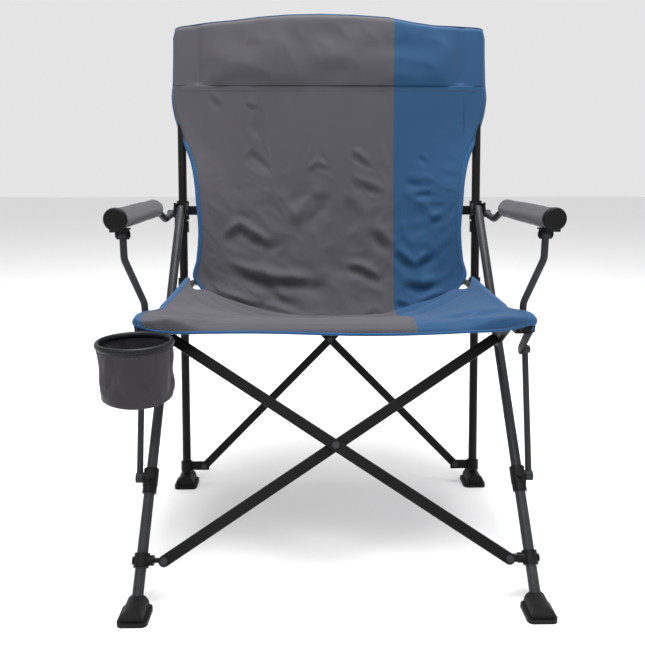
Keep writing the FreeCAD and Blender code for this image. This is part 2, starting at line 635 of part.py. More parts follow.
# ---- cup holder -------------------------------------------------------------------------------
def cup_ring():
    centre = Vector(CUP_X, CUP_Y, CUP_Z)
    rim = Part.makeTorus(CUP_R, 3.0, centre, Vector(0, 0, 1))
    reach = CUP_HINGE[0] - CUP_Y - CUP_R
    arm = slab((CUP_X - 9, CUP_Y + CUP_R, CUP_Z - 2.5), (18, reach, 5))
    barrel = cross_rod(CUP_HINGE, HINGE_BARREL_R, CUP_X - 9, CUP_X + 9)
    hole = cross_rod(CUP_HINGE, HINGE_PIN_R + RUNNING, CUP_X - 20, CUP_X + 20)
    return union([rim, arm, barrel]).cut(hole)


def cup_clip():
    """Clip on the hub with the pin the cup ring turns on."""
    pin = cross_rod(CUP_HINGE, HINGE_PIN_R, CUP_X - 13, CUP_X + 13)
    depth = HUB_FRONT - CUP_HINGE[0] + 4
    cheeks = [slab((x, CUP_HINGE[0] - 4, CUP_Z - 4), (3.5, depth, 11))
              for x in (CUP_X - 13, CUP_X + 9.5)]
    plate = slab((CUP_X - 13, HUB_FRONT - CLIP_PLATE, CUP_Z - 4), (26, CLIP_PLATE, 11))
    return union([pin, plate] + cheeks)


def cup_pocket():
    """Hanging cloth cup, a little narrower at the bottom, hemmed over the ring."""
    top = CUP_Z - 3.0
    foot_r = CUP_R - CUP_TAPER
    rim_r = CUP_R + 0.5
    foot = Vector(CUP_X, CUP_Y, top - CUP_DEPTH)
    outer = Part.makeCone(foot_r, rim_r, CUP_DEPTH, foot)
    inner = Part.makeCone(foot_r - FABRIC, rim_r - FABRIC, CUP_DEPTH, foot + Vector(0, 0, FABRIC))
    return outer.cut(inner)


# ---- all nodes ----------------------------------------------------------------------------------
SIDE_PIECES = {
    "back_upright": back_upright,
    "upright_cap": upright_cap,
    "rear_foot": rear_foot,
    "rear_tab": rear_tab,
    "rail_mount": rail_mount,
    "arm_mount": arm_mount,
    "slider_bracket": slider_bracket,
    "front_leg": front_leg,
    "front_foot": front_foot,
    "leg_slider": leg_slider,
    "leg_stop_collar": leg_stop_collar,
    "front_tab_mount": front_tab_mount,
    "front_hub": front_hub,
    "pins_hub": pins_hub,
    "arm_post": arm_post,
    "strut": strut,
    "seat_rail": seat_rail,
    "arm_tube": arm_tube,
    "arm_pad": arm_pad,
    "arm_front_bracket": arm_front_bracket,
}


def mirrored(shape):
    return shape.mirror(Vector(0, 0, 0), SIDEWAYS)


def all_nodes():
    nodes = {}
    for name, build in SIDE_PIECES.items():
        shape = build()
        nodes[name + "_right"] = shape
        nodes[name + "_left"] = mirrored(shape)
    nodes["pins_upright_right"] = pins_upright(-1)
    nodes["pins_upright_left"] = mirrored(pins_upright(1))
    nodes["pins_bracket_right"] = pins_bracket(1)
    nodes["pins_bracket_left"] = mirrored(pins_bracket(-1))
    nodes["upper_yoke_left"] = mirrored(upper_yoke(FRONT_LAYER))
    nodes["upper_yoke_right"] = upper_yoke(BACK_LAYER)
    nodes["lower_yoke_left"] = mirrored(lower_yoke(BACK_LAYER))
    nodes["lower_yoke_right"] = lower_yoke(FRONT_LAYER)
    nodes["front_bar_front"] = front_bar(FRONT_LAYER, True)
    nodes["front_bar_back"] = front_bar(BACK_LAYER, False)
    nodes["pins_front_bar_front"] = pins_front_bar(FRONT_LAYER, True, 1)
    nodes["pins_front_bar_back"] = pins_front_bar(BACK_LAYER, False, -1)
    nodes["rear_bar_front"] = rear_bar(1, True)
    nodes["rear_bar_back"] = rear_bar(-1, False)
    nodes["rear_centre_rivet"] = rear_centre_rivet()
    nodes["seat_sling"] = seat_sling()
    nodes["back_panel"] = back_panel()
    nodes["cup_ring"] = mirrored(cup_ring())
    nodes["cup_clip"] = mirrored(cup_clip())
    nodes["cup_pocket"] = mirrored(cup_pocket())
    return nodes


def main():
    os.makedirs("parts", exist_ok=True)
    for name, shape in all_nodes().items():
        shape.translate(Vector(0, -MIDDLE_Y, 0))
        shape.exportStep("parts/" + name + ".step")


main()
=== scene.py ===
import json
import math

import bpy
import numpy as np
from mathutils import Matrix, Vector, noise


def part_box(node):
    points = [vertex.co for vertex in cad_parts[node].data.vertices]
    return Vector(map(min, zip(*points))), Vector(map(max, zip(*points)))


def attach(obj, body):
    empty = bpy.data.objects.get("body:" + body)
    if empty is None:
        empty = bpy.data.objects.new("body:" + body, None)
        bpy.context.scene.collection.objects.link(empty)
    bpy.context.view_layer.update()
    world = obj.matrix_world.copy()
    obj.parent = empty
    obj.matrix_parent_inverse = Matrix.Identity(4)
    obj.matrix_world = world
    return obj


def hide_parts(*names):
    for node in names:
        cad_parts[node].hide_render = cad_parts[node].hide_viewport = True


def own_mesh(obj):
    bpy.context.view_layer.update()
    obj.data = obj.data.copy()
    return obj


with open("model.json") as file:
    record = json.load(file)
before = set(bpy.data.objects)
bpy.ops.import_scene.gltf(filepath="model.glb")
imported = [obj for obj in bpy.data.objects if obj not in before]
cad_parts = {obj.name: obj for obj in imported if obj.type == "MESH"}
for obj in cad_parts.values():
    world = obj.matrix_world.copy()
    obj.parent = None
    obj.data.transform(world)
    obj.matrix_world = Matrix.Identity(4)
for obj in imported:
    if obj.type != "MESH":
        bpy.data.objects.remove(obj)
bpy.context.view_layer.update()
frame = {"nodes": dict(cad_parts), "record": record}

# Looks of the folding camp chair. Metres, same frame as the CAD: front towards -Y, left is -X.
MM = 0.001

# ---- sizes of the soft goods ----
CLOTH_THICK = 1.4 * MM
SEAM_X = 138 * MM  # where the charcoal cloth meets the blue cloth
TAPE_WIDTH = 8 * MM  # binding folded over the raw edges
TAPE_THICK = 1.6 * MM
TAPE_UV_STEP = 3 * MM  # cloth between two lines of the tape's section
# the tape's section: share of its width into the cloth, share of its half thickness off the cloth
TAPE_SECTION = [(1.0, 0.55), (0.55, 1.0), (0.12, 1.05), (-0.16, 0.0), (0.12, -1.05), (0.55, -1.0),
                (1.0, -0.55)]
STITCH_PITCH = 6.5 * MM
STITCH_LENGTH = 4.2 * MM
STITCH_R = 0.45 * MM
STITCH_SIDES = 5
STITCH_LIFTS = (-0.2, 0.9, -0.2)  # a stitch's start, middle and end off the cloth, in thread radii
STITCH_SWELLS = (0.5, 1.0, 0.5)  # and its thickness there
STITCH_ABOVE = 0.4 * MM  # from the cloth's grid to the stitches' line

# ---- grids ----
LEFT_COLUMNS = 92  # from the left edge to the colour seam
RIGHT_COLUMNS = 38  # from the colour seam to the right edge
WIDE_COLUMNS = LEFT_COLUMNS + RIGHT_COLUMNS + 1


# ---- places read from the frame ----
def middle(node):
    low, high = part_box(node)
    return (low + high) / 2


cap, tab = middle("upright_cap_right"), middle("rear_tab_right")
UP = Vector((0, cap.y - tab.y, cap.z - tab.z)).normalized()
FORWARD = Vector((0, -UP.z, UP.y))
FOOT = Vector((0, tab.y, tab.z)) - UP * (tab.z / UP.z)
RAIL_LOW, RAIL_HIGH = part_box("seat_rail_right")
RAIL_R = (RAIL_HIGH.x - RAIL_LOW.x) / 2
RAIL_FRONT_Y = RAIL_LOW.y + RAIL_R
RAIL_REAR_Y = RAIL_HIGH.y - RAIL_R
RAIL_FRONT_Z = RAIL_LOW.z + RAIL_R
RAIL_REAR_Z = RAIL_HIGH.z - RAIL_R
CLIP_LOW, CLIP_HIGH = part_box("cup_clip")


def on_back(x, along, forward):
    """A point by its place along the uprights and in front of their middle plane."""
    return FOOT + Vector((x, 0, 0)) + UP * along + FORWARD * forward


# ---- numbers ----
NOISE_GAIN = 1.8  # brings Blender's noise to about -1 to 1
CRUMPLE_LEVEL = 0.35  # mean height of the creased noise
CREASE_FADE = 2.2  # a crease reaches full height at 1 / this of its length
CREASE_OFFSET = 0.9  # ridge and hollow beside a crease's path, in widths


def smooth(t):
    t = np.clip(t, 0, 1)
    return t * t * (3 - 2 * t)


def through(t, keys):
    """Smooth curve through rows of (t, value, value, ...)."""
    keys = np.array(keys, float)
    at, values = keys[:, 0], keys[:, 1:]
    slopes = np.gradient(values, at, axis=0)
    i = np.clip(np.searchsorted(at, t, side="right") - 1, 0, len(at) - 2)
    step = (at[i + 1] - at[i])[:, None]
    u = ((t - at[i]) / (at[i + 1] - at[i]))[:, None]
    return ((2 * u**3 - 3 * u**2 + 1) * values[i] + (u**3 - 2 * u**2 + u) * step * slopes[i]
            + (3 * u**2 - 2 * u**3) * values[i + 1] + (u**3 - u**2) * step * slopes[i + 1])


def crease(x, y, fold):
    """One fold along a path: a ridge on the path's left and a hollow on its right, fading at both ends."""
    path, width, height = fold
    legs = list(zip(path, path[1:]))
    total = sum(math.dist(a, b) for a, b in legs)
    nearest = np.full(x.shape, 1e9)
    side, along = np.zeros(x.shape), np.zeros(x.shape)
    run = 0.0
    for (x0, y0), (x1, y1) in legs:
        dx, dy = (x1 - x0) * MM, (y1 - y0) * MM
        length = math.hypot(dx, dy)
        px, py = x - x0 * MM, y - y0 * MM
        t = np.clip((px * dx + py * dy) / length**2, 0, 1)
        off = np.hypot(px - t * dx, py - t * dy)
        closer = off < nearest
        nearest = np.where(closer, off, nearest)
        side = np.where(closer, np.sign(py * dx - px * dy) * off, side)
        along = np.where(closer, (run + t * length) / (total * MM), along)
        run += length
    fade = smooth(along * CREASE_FADE) * smooth((1 - along) * CREASE_FADE)
    width = width * MM
    ridge = np.exp(-(((side - CREASE_OFFSET * width) / width) ** 2))
    hollow = np.exp(-(((side + CREASE_OFFSET * width) / width) ** 2))
    return height * MM * fade * (ridge - hollow)


def rumple(x, y, scale, seed):
    """Soft noise between -1 and 1 over the cloth."""
    flat = [noise.noise(Vector((a / scale, b / scale, seed))) for a, b in zip(x.ravel(), y.ravel())]
    return np.array(flat).reshape(x.shape) * NOISE_GAIN


def crumple(x, y, scale, seed):
    """Creased noise: sharp ridges between soft hollows."""
    return CRUMPLE_LEVEL - np.abs(rumple(x, y, scale, seed))


# ---- meshes ----
def shade_smooth(piece):
    for polygon in piece.data.polygons:
        polygon.use_smooth = True


def new_piece(name, vertices, faces, body, replaced=(), material=None):
    mesh = bpy.data.meshes.new(name)
    mesh.from_pydata([tuple(v) for v in vertices], [], faces)
    mesh.update()
    piece = bpy.data.objects.new(name, mesh)
    bpy.context.scene.collection.objects.link(piece)
    shade_smooth(piece)
    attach(piece, body)
    if replaced:
        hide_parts(*replaced)
    if material:
        mesh.materials.append(material)
    return piece


def grid_faces(rows, cols, around=False):
    """Quads of a grid; with around, its last column joins its first."""
    faces = []
    for j in range(rows - 1):
        for i in range(cols - (0 if around else 1)):
            k = (i + 1) % cols
            faces.append((j * cols + i, j * cols + k, (j + 1) * cols + k, (j + 1) * cols + i))
    return faces


def ring_caps(rows, around):
    """The two end faces of a tube grid."""
    last = (rows - 1) * around
    return [tuple(range(around))[::-1], tuple(last + i for i in range(around))]


def add_uv(piece, flat):
    """flat is each vertex's place on the cut cloth, in metres."""
    layer = piece.data.uv_layers.new(name="cloth")
    for loop in piece.data.loops:
        layer.data[loop.index].uv = flat[loop.vertex_index]


def coordinates(mesh):
    co = np.zeros(len(mesh.vertices) * 3)
    mesh.vertices.foreach_get("co", co)
    return co.reshape(-1, 3)


def put_coordinates(mesh, co):
    mesh.vertices.foreach_set("co", co.ravel())
    mesh.update()


def normals_of(mesh):
    values = np.zeros(len(mesh.vertices) * 3)
    mesh.vertex_normals.foreach_get("vector", values)
    return values.reshape(-1, 3)


def facing(sheet, vertex, direction):
    """The sheet's points and normals, once its normal at a vertex looks the given way."""
    co, normals = coordinates(sheet.data), normals_of(sheet.data)
    if normals[vertex] @ np.array(direction) < 0:
        sheet.data.flip_normals()
        normals = -normals
    return co, normals


def apply_all(piece):
    """Applies the modifiers by swapping in the evaluated mesh."""
    graph = bpy.context.evaluated_depsgraph_get()
    made = bpy.data.meshes.new_from_object(piece.evaluated_get(graph))
    piece.modifiers.clear()
    piece.data = made


def subdivide(piece):
    divide = piece.modifiers.new("smooth", "SUBSURF")
    divide.levels = 1
    divide.render_levels = 1
    apply_all(piece)


def thicken(piece, thickness=CLOTH_THICK):
    """Gives a sheet its thickness, behind its outer face."""
    solid = piece.modifiers.new("thickness", "SOLIDIFY")
    solid.thickness = thickness
    solid.offset = -1.0
    apply_all(piece)
    shade_smooth(piece)


def weld(piece):
    piece.modifiers.new("weld", "WELD").merge_threshold = 0.05 * MM
    apply_all(piece)


CLOTH_SETTINGS = {
    "quality": 7, "mass": 0.2, "tension_stiffness": 30, "compression_stiffness": 30,
    "shear_stiffness": 12, "bending_stiffness": 0.9, "air_damping": 2,
}


def settle(piece, hold, slack, stretch, cap, frames=20, gravity=0.4):
    """Cloth simulation: the cloth is a little larger than its frame and wrinkles between held edges."""
    rest = coordinates(piece.data)
    for name, weights in (("hold", hold), ("slack", slack)):
        group = piece.vertex_groups.new(name=name)
        for index, weight in enumerate(weights):
            group.add([index], float(weight), "REPLACE")
    cloth = piece.modifiers.new("cloth", "CLOTH")
    settings = cloth.settings
    for name, value in CLOTH_SETTINGS.items():
        setattr(settings, name, value)
    settings.vertex_group_mass = "hold"
    settings.vertex_group_shrink = "slack"
    settings.shrink_min = 0
    settings.shrink_max = -stretch
    settings.effector_weights.gravity = gravity
    cloth.collision_settings.use_collision = False
    cloth.point_cache.frame_start = 1
    cloth.point_cache.frame_end = frames
    scene = bpy.context.scene
    for step in range(1, frames + 1):
        scene.frame_set(step)
    graph = bpy.context.evaluated_depsgraph_get()
    moved = coordinates(piece.evaluated_get(graph).data)
    piece.modifiers.remove(cloth)
    piece.vertex_groups.clear()
    scene.frame_set(1)
    shift = moved - rest
    far = np.linalg.norm(shift, axis=1, keepdims=True) + 1e-9
    put_coordinates(piece.data, rest + shift * (cap * np.tanh(far / cap) / far))


def grid_area(points):
    """Area of a grid of points, which is the area the cloth was cut to."""
    across = np.diff(points, axis=1)[:-1]
    down = np.diff(points, axis=0)[:, :-1]
    return float(np.linalg.norm(np.cross(across, down), axis=2).sum())


def lengths_along(path):
    return np.concatenate([[0], np.cumsum(np.linalg.norm(np.diff(path, axis=0), axis=1))])


def edge_path(points, normals, cols, picks):
    """Edge vertices, inward directions and normals; a pick is (row, column, inner row, inner column)."""
    path, inward, normal = [], [], []
    for row, column, inner_row, inner_column in picks:
        p = points[row * cols + column]
        direction = points[inner_row * cols + inner_column] - p
        path.append(p)
        inward.append(direction / (np.linalg.norm(direction) + 1e-9))
        normal.append(normals[row * cols + column])
    return path, inward, normal


def tape(name, edge, body, width=TAPE_WIDTH, thick=TAPE_THICK):
    """Binding tape folded over an edge: edge is its path, the way into the cloth and the cloth's normal."""
    path, inward, normal = (np.array(a, float) for a in edge)
    half = CLOTH_THICK / 2 + thick / 2
    rings = [path + inward * (a * width) + normal * (b * half) for a, b in TAPE_SECTION]
    rows, count = len(path), len(TAPE_SECTION)
    faces = grid_faces(rows, count, around=True) + ring_caps(rows, count)
    piece = new_piece(name, np.stack(rings, 1).reshape(-1, 3), faces, body, (), BLUE_TAPE)
    lengths = lengths_along(path)
    add_uv(piece, [(k * TAPE_UV_STEP, lengths[j]) for j in range(rows) for k in range(count)])
    return piece


def add_stitch(vertices, faces, points, up):
    """One short raised thread through three points."""
    along = points[2] - points[0]
    along /= np.linalg.norm(along) + 1e-9
    side = np.cross(along, up)
    first = len(vertices)
    for point, lift, swell in zip(points, STITCH_LIFTS, STITCH_SWELLS):
        for k in range(STITCH_SIDES):
            angle = 2 * math.pi * k / STITCH_SIDES
            off = side * math.cos(angle) + up * math.sin(angle)
            vertices.append(point + up * (lift * STITCH_R) + off * (swell * STITCH_R))
    rings = len(STITCH_LIFTS)
    for face in grid_faces(rings, STITCH_SIDES, around=True) + ring_caps(rings, STITCH_SIDES):
        faces.append(tuple(first + k for k in face))


def stitches(name, lines, body, material):
    """Rows of short raised threads along lines of (points, normals)."""
    vertices, faces = [], []
    for path, normal in lines:
        path, normal = np.array(path, float), np.array(normal, float)
        lengths = lengths_along(path)
        for start in np.arange(STITCH_PITCH / 2, lengths[-1] - STITCH_LENGTH, STITCH_PITCH):
            at = [start, start + STITCH_LENGTH / 2, start + STITCH_LENGTH]
            points = np.array([[np.interp(a, lengths, path[:, k]) for k in range(3)] for a in at])
            up = np.array([np.interp(at[1], lengths, normal[:, k]) for k in range(3)])
            add_stitch(vertices, faces, points, up / (np.linalg.norm(up) + 1e-9))
    return new_piece(name, vertices, faces, body, (), material)


def thread_line(co, normals, indices):
    """A line of stitches over the given vertices of a cloth."""
    raised = [co[k] + normals[k] * STITCH_ABOVE for k in indices]
    return raised, [normals[k] for k in indices]


def seam_line(co, normals, rows, cols, column):
    """A line of stitches just left of a seam that runs down one column."""
    right = [j * cols + column for j in range(rows)]
    raised = [co[k - 1] * 0.6 + co[k] * 0.4 + normals[k] * STITCH_ABOVE for k in right]
    return raised, [normals[k] for k in right]


# ---- materials ----
def linear(color):
    """sRGB 0-255 to linear RGBA."""
    out = []
    for c in color:
        c = c / 255
        out.append(c / 12.92 if c <= 0.04045 else ((c + 0.055) / 1.055) ** 2.4)
    return (*out, 1.0)


def worn(color):
    """The colour that rubbing and dust leave on a black or grey surface."""
    return linear([min(255, c * 1.6 + 10) for c in color])


class Nodes:
    """A short way to write a material's node tree."""

    def __init__(self, name):
        self.material = bpy.data.materials.new(name)
        self.material.use_nodes = True
        self.tree = self.material.node_tree
        self.shader = self.tree.nodes["Principled BSDF"]
        self.place = self.tree.nodes.new("ShaderNodeTexCoord").outputs["Object"]

    def put(self, socket, value):
        if isinstance(value, bpy.types.NodeSocket):
            self.tree.links.new(value, socket)
        else:
            socket.default_value = value

    def add(self, kind, **inputs):
        """A node with the named inputs set or linked."""
        node = self.tree.nodes.new(kind)
        for key, value in inputs.items():
            self.put(node.inputs[key], value)
        return node

    def shade(self, **inputs):
        """Sets or links inputs of the shader, written with _ for a space."""
        for key, value in inputs.items():
            self.put(self.shader.inputs[key.replace("_", " ")], value)

    def math(self, operation, *values):
        node = self.tree.nodes.new("ShaderNodeMath")
        node.operation = operation
        for socket, value in zip(node.inputs, values):
            self.put(socket, value)
        return node.outputs[0]

    def mix(self, share, a, b):
        node = self.tree.nodes.new("ShaderNodeMix")
        node.data_type = "RGBA"
        for index, value in ((0, share), (6, a), (7, b)):
            self.put(node.inputs[index], value)
        return node.outputs[2]

    def noise(self, scale, detail, rough):
        return self.add("ShaderNodeTexNoise", Vector=self.place, Scale=scale, Detail=detail,
                        Roughness=rough).outputs["Fac"]

    def bump(self, height, strength, distance, **after):
        return self.add("ShaderNodeBump", Height=height, Strength=strength, Distance=distance,
                        **after).outputs["Normal"]

    def patches(self, tint, pattern, low, high, share, other):
        """Mixes in another colour where a pattern goes from low to high."""
        node = self.add("ShaderNodeMapRange", Value=pattern)
        node.inputs["From Min"].default_value = low
        node.inputs["From Max"].default_value = high
        node.clamp = True
        return self.mix(self.math("MULTIPLY", node.outputs[0], share), tint, other)


def cloth_material(name, color, thread=0.9 * MM, sheen=0.12, contrast=0.16):
    """Plain-woven polyester: warp and weft over and under each other, with slubs and wear."""
    n = Nodes(name)
    flat = n.tree.nodes.new("ShaderNodeUVMap")
    flat.uv_map = "cloth"
    split = n.add("ShaderNodeSeparateXYZ", Vector=flat.outputs[0])
    turns = math.pi / thread
    warp, weft = (n.math("SINE", n.math("MULTIPLY", split.outputs[k], turns)) for k in (0, 1))
    weave = n.math("MULTIPLY_ADD", n.math("MULTIPLY", warp, weft), 0.5, 0.5)
    slub = n.noise(scale=900.0, detail=2.0, rough=0.6)
    fading = n.noise(scale=9.0, detail=4.0, rough=0.6)
    dust = n.noise(scale=55.0, detail=5.0, rough=0.65)
    base = linear(color)
    dark = tuple(c * (1 - contrast) for c in base[:3]) + (1.0,)
    light = tuple(min(1.0, c * (1 + contrast)) for c in base[:3]) + (1.0,)
    tint = n.mix(weave, dark, light)
    tint = n.patches(tint, fading, low=0.35, high=0.7, share=0.35, other=light)
    tint = n.patches(tint, dust, low=0.5, high=0.75, share=0.22, other=dark)
    puckers = n.bump(n.noise(scale=120.0, detail=3.0, rough=0.6), strength=0.25, distance=0.6 * MM)
    threads = n.math("ADD", weave, n.math("MULTIPLY", slub, 0.5))
    n.shade(Base_Color=tint, Roughness=n.math("MULTIPLY_ADD", slub, 0.18, 0.72), Sheen_Weight=sheen,
            Sheen_Roughness=0.45, Specular_IOR_Level=0.2,
            Normal=n.bump(threads, strength=0.5, distance=0.25 * MM, Normal=puckers))
    return n.material


def metal_material(name, color, roughness=0.42, peel=0.25):
    """Powder-coated steel: fine orange peel, dull patches and rubbed high spots."""
    n = Nodes(name)
    haze = n.noise(scale=14.0, detail=4.0, rough=0.6)
    scuff = n.noise(scale=70.0, detail=6.0, rough=0.7)
    tint = n.patches(linear(color), haze, low=0.4, high=0.75, share=0.3, other=worn(color))
    tint = n.patches(tint, scuff, low=0.66, high=0.74, share=0.55, other=worn(color))
    fine = n.noise(scale=1500.0, detail=2.0, rough=0.5)
    n.shade(Base_Color=tint, Roughness=n.math("MULTIPLY_ADD", scuff, 0.22, roughness - 0.1),
            Specular_IOR_Level=0.15, Normal=n.bump(fine, strength=peel, distance=0.12 * MM))
    return n.material


def plastic_material(name, color, roughness=0.5, grain=0.35):
    """Moulded black plastic with a spark-eroded grain and greyed patches."""
    n = Nodes(name)
    haze = n.noise(scale=22.0, detail=5.0, rough=0.65)
    tint = n.patches(linear(color), haze, low=0.45, high=0.75, share=0.45, other=worn(color))
    cells = n.add("ShaderNodeTexVoronoi", Vector=n.place, Scale=1800.0).outputs["Distance"]
    n.shade(Base_Color=tint, Roughness=n.math("MULTIPLY_ADD", haze, 0.2, roughness - 0.1),
            Specular_IOR_Level=0.15, Normal=n.bump(cells, strength=grain, distance=0.08 * MM))
    return n.material


GREY_CLOTH = cloth_material("charcoal_cloth", (64, 63, 68))
BLUE_CLOTH = cloth_material("blue_cloth", (25, 60, 92))
BLUE_TAPE = cloth_material("blue_tape", (26, 68, 106), thread=0.7 * MM, contrast=0.1)
PAD_CLOTH = cloth_material("pad_cloth", (50, 49, 55), thread=0.6 * MM, sheen=0.2)
CUP_CLOTH = cloth_material("cup_cloth", (45, 43, 48), thread=0.8 * MM)
GREY_THREAD = cloth_material("grey_thread", (84, 83, 90), thread=0.3 * MM)
BLUE_THREAD = cloth_material("blue_thread", (44, 98, 148), thread=0.3 * MM)
BLACK_COAT = metal_material("black_powder_coat", (8, 8, 8))
LEG_COAT = metal_material("grey_powder_coat", (36, 37, 39))
RIVET = metal_material("blackened_steel", (40, 40, 42), roughness=0.34, peel=0.1)
PLASTIC = plastic_material("black_plastic", (7, 7, 8))
RUBBER = plastic_material("shoe_rubber", (14, 14, 14), roughness=0.56, grain=0.5)
RIM_PLASTIC = plastic_material("rim_plastic", (20, 21, 22), roughness=0.36, grain=0.15)

SLOT_MATERIALS = {
    "frame_tube": BLACK_COAT, "leg_tube": LEG_COAT, "black_plastic": PLASTIC,
    "shoe_rubber": RUBBER, "rivet_steel": RIVET,
}
GREY_TUBES = ("strut", "arm_post", "arm_tube")  # coated like the legs, whatever their slot


def paint_frame():
    """Every CAD node that stays gets its material by the record's slot."""
    for part in frame["record"]["subparts"]:
        material = SLOT_MATERIALS.get(part["material_slot"])
        if material is None:
            continue
        if part["node"] == "cup_ring":
            material = RIM_PLASTIC
        if part["node"].startswith(GREY_TUBES):
            material = LEG_COAT
        node = frame["nodes"][part["node"]]
        if not node.material_slots:
            node.data.materials.append(material)
        for holder in node.material_slots:
            holder.link = "OBJECT"
            holder.material = material


# ---- back ----
HEAD_SEAM = 872 * MM  # seam under the headrest, along the uprights
BACK_FOOT = 388 * MM  # lower edge, along the uprights
FOOT_DIP = 14 * MM  # how far the lower edge hangs lower at the middle
FOOT_FADE = 60 * MM
BACK_GRID_ROWS = 102
EDGE_ROOM = 11.5 * MM  # width in which a sheet turns round an upright
WING_START = 735 * MM  # from here up, the edges wrap the uprights
WING_FADE = 40 * MM
EDGE_CALM = 0.12  # share of the half width in which the folds die out
SEAM_CALM = 30 * MM  # height below the headrest's seam in which they die out
FOLD_SHARE = 0.95  # all the back's folds together
UPPER_CALM = 0.42  # how much flatter the folds are in its upper half
UPPER_START = 560 * MM
UPPER_FADE = 120 * MM
CRUMPLE_LEAST = 0.45  # share of the crumples that is left under the headrest
CRUMPLE_TOP = 800 * MM
CRUMPLE_FADE = 200 * MM
BACK_CRUMPLES = ((5 * MM, 75 * MM, 3.1), (2 * MM, 34 * MM, 6.3))  # height, scale, seed
HEAD_STITCH_ROW = 3  # rows from the headrest's seam to the stitches under it

# along, half width, forward at the middle, forward at the edge
BACK_ROWS = [
    (0.388, 0.240, 0.044, 0.040), (0.412, 0.258, 0.043, 0.036), (0.436, 0.277, 0.039, 0.032),
    (0.458, 0.293, 0.034, 0.030), (0.500, 0.287, 0.028, 0.028), (0.560, 0.282, 0.022, 0.028),
    (0.620, 0.286, 0.017, 0.027), (0.680, 0.292, 0.012, 0.022), (0.715, 0.300, 0.010, 0.017),
    (0.748, 0.313, 0.009, 0.014), (0.780, 0.326, 0.009, 0.0115), (0.820, 0.337, 0.010, 0.011),
    (0.850, 0.340, 0.011, 0.011), (0.872, 0.338, 0.012, 0.011)]
# folds in the back, in mm: path of (x, along), width, height; the ridge is on the path's left
BACK_FOLDS = [
    (((-264, 863), (-228, 822)), 7, 4), (((-190, 836), (-165, 828), (-144, 832)), 6, 3),
    (((-142, 737), (-165, 770), (-178, 803)), 9, 4), (((-205, 705), (-166, 733), (-108, 681)), 8, 5),
    (((29, 745), (104, 694)), 7, 7), (((-60, 684), (-27, 706), (16, 694)), 7, 5),
    (((33, 673), (80, 662), (131, 640)), 9, 6), (((-112, 540), (-40, 612), (33, 696)), 17, 7),
    (((-245, 527), (-195, 572), (-133, 532), (-100, 545)), 10, 8),
    (((-270, 484), (-215, 480), (-125, 457), (-37, 450), (25, 466)), 13, 10),
    (((-150, 470), (-108, 420), (-50, 405)), 11, 6), (((85, 574), (142, 517)), 12, 7),
    (((15, 488), (65, 481), (104, 459), (132, 471)), 10, 7), (((-90, 630), (-40, 650), (40, 600)), 15, 3),
    (((190, 730), (216, 708)), 7, 4), (((153, 676), (195, 668), (236, 676)), 10, 5),
    (((170, 638), (205, 647), (234, 643)), 8, 5), (((212, 584), (250, 595)), 8, 5),
    (((138, 527), (186, 474)), 10, 7), (((186, 478), (222, 520)), 9, 6),
    (((138, 455), (200, 442), (262, 452)), 12, 7), (((183, 404), (266, 432)), 9, 9),
    (((136, 411), (180, 398)), 8, 5), (((234, 733), (323, 823)), 15, 3),
    (((-238, 651), (-314, 786)), 16, 4), (((255, 560), (262, 640)), 9, 3),
    (((-265, 430), (-200, 412), (-140, 398)), 10, 8)]


def squash_back(piece):
    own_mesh(piece)


def columns_to(half):
    """x across a row, with one column on the colour seam."""
    left = np.linspace(-half, SEAM_X, LEFT_COLUMNS + 1)
    right = np.linspace(SEAM_X, half, RIGHT_COLUMNS + 1)[1:]
    return np.concatenate([left, right])


def edge_wrap(x, half):
    """Share of its forward offset that a sheet keeps as it turns round the tube at its outer edge."""
    share = np.clip((np.abs(x) - (half - EDGE_ROOM)) / EDGE_ROOM, 0, 1)
    return np.sqrt(np.maximum(0.0, 1 - share**2))


def back_relief(x, along, u, s):
    """Folds and crumples of one row of the back, u being x over the half width."""
    calm = smooth((1 - np.abs(u)) / EDGE_CALM) * smooth((HEAD_SEAM - s) / SEAM_CALM)
    folds = FOLD_SHARE * sum(crease(x, along, fold) for fold in BACK_FOLDS)
    relief = folds * (1 - UPPER_CALM * smooth((s - UPPER_START) / UPPER_FADE)) * calm
    busy = CRUMPLE_LEAST + (1 - CRUMPLE_LEAST) * smooth((CRUMPLE_TOP - s) / CRUMPLE_FADE)
    for height, scale, seed in BACK_CRUMPLES:
        relief = relief + height * calm * busy * crumple(x, along, scale, seed)
    return relief


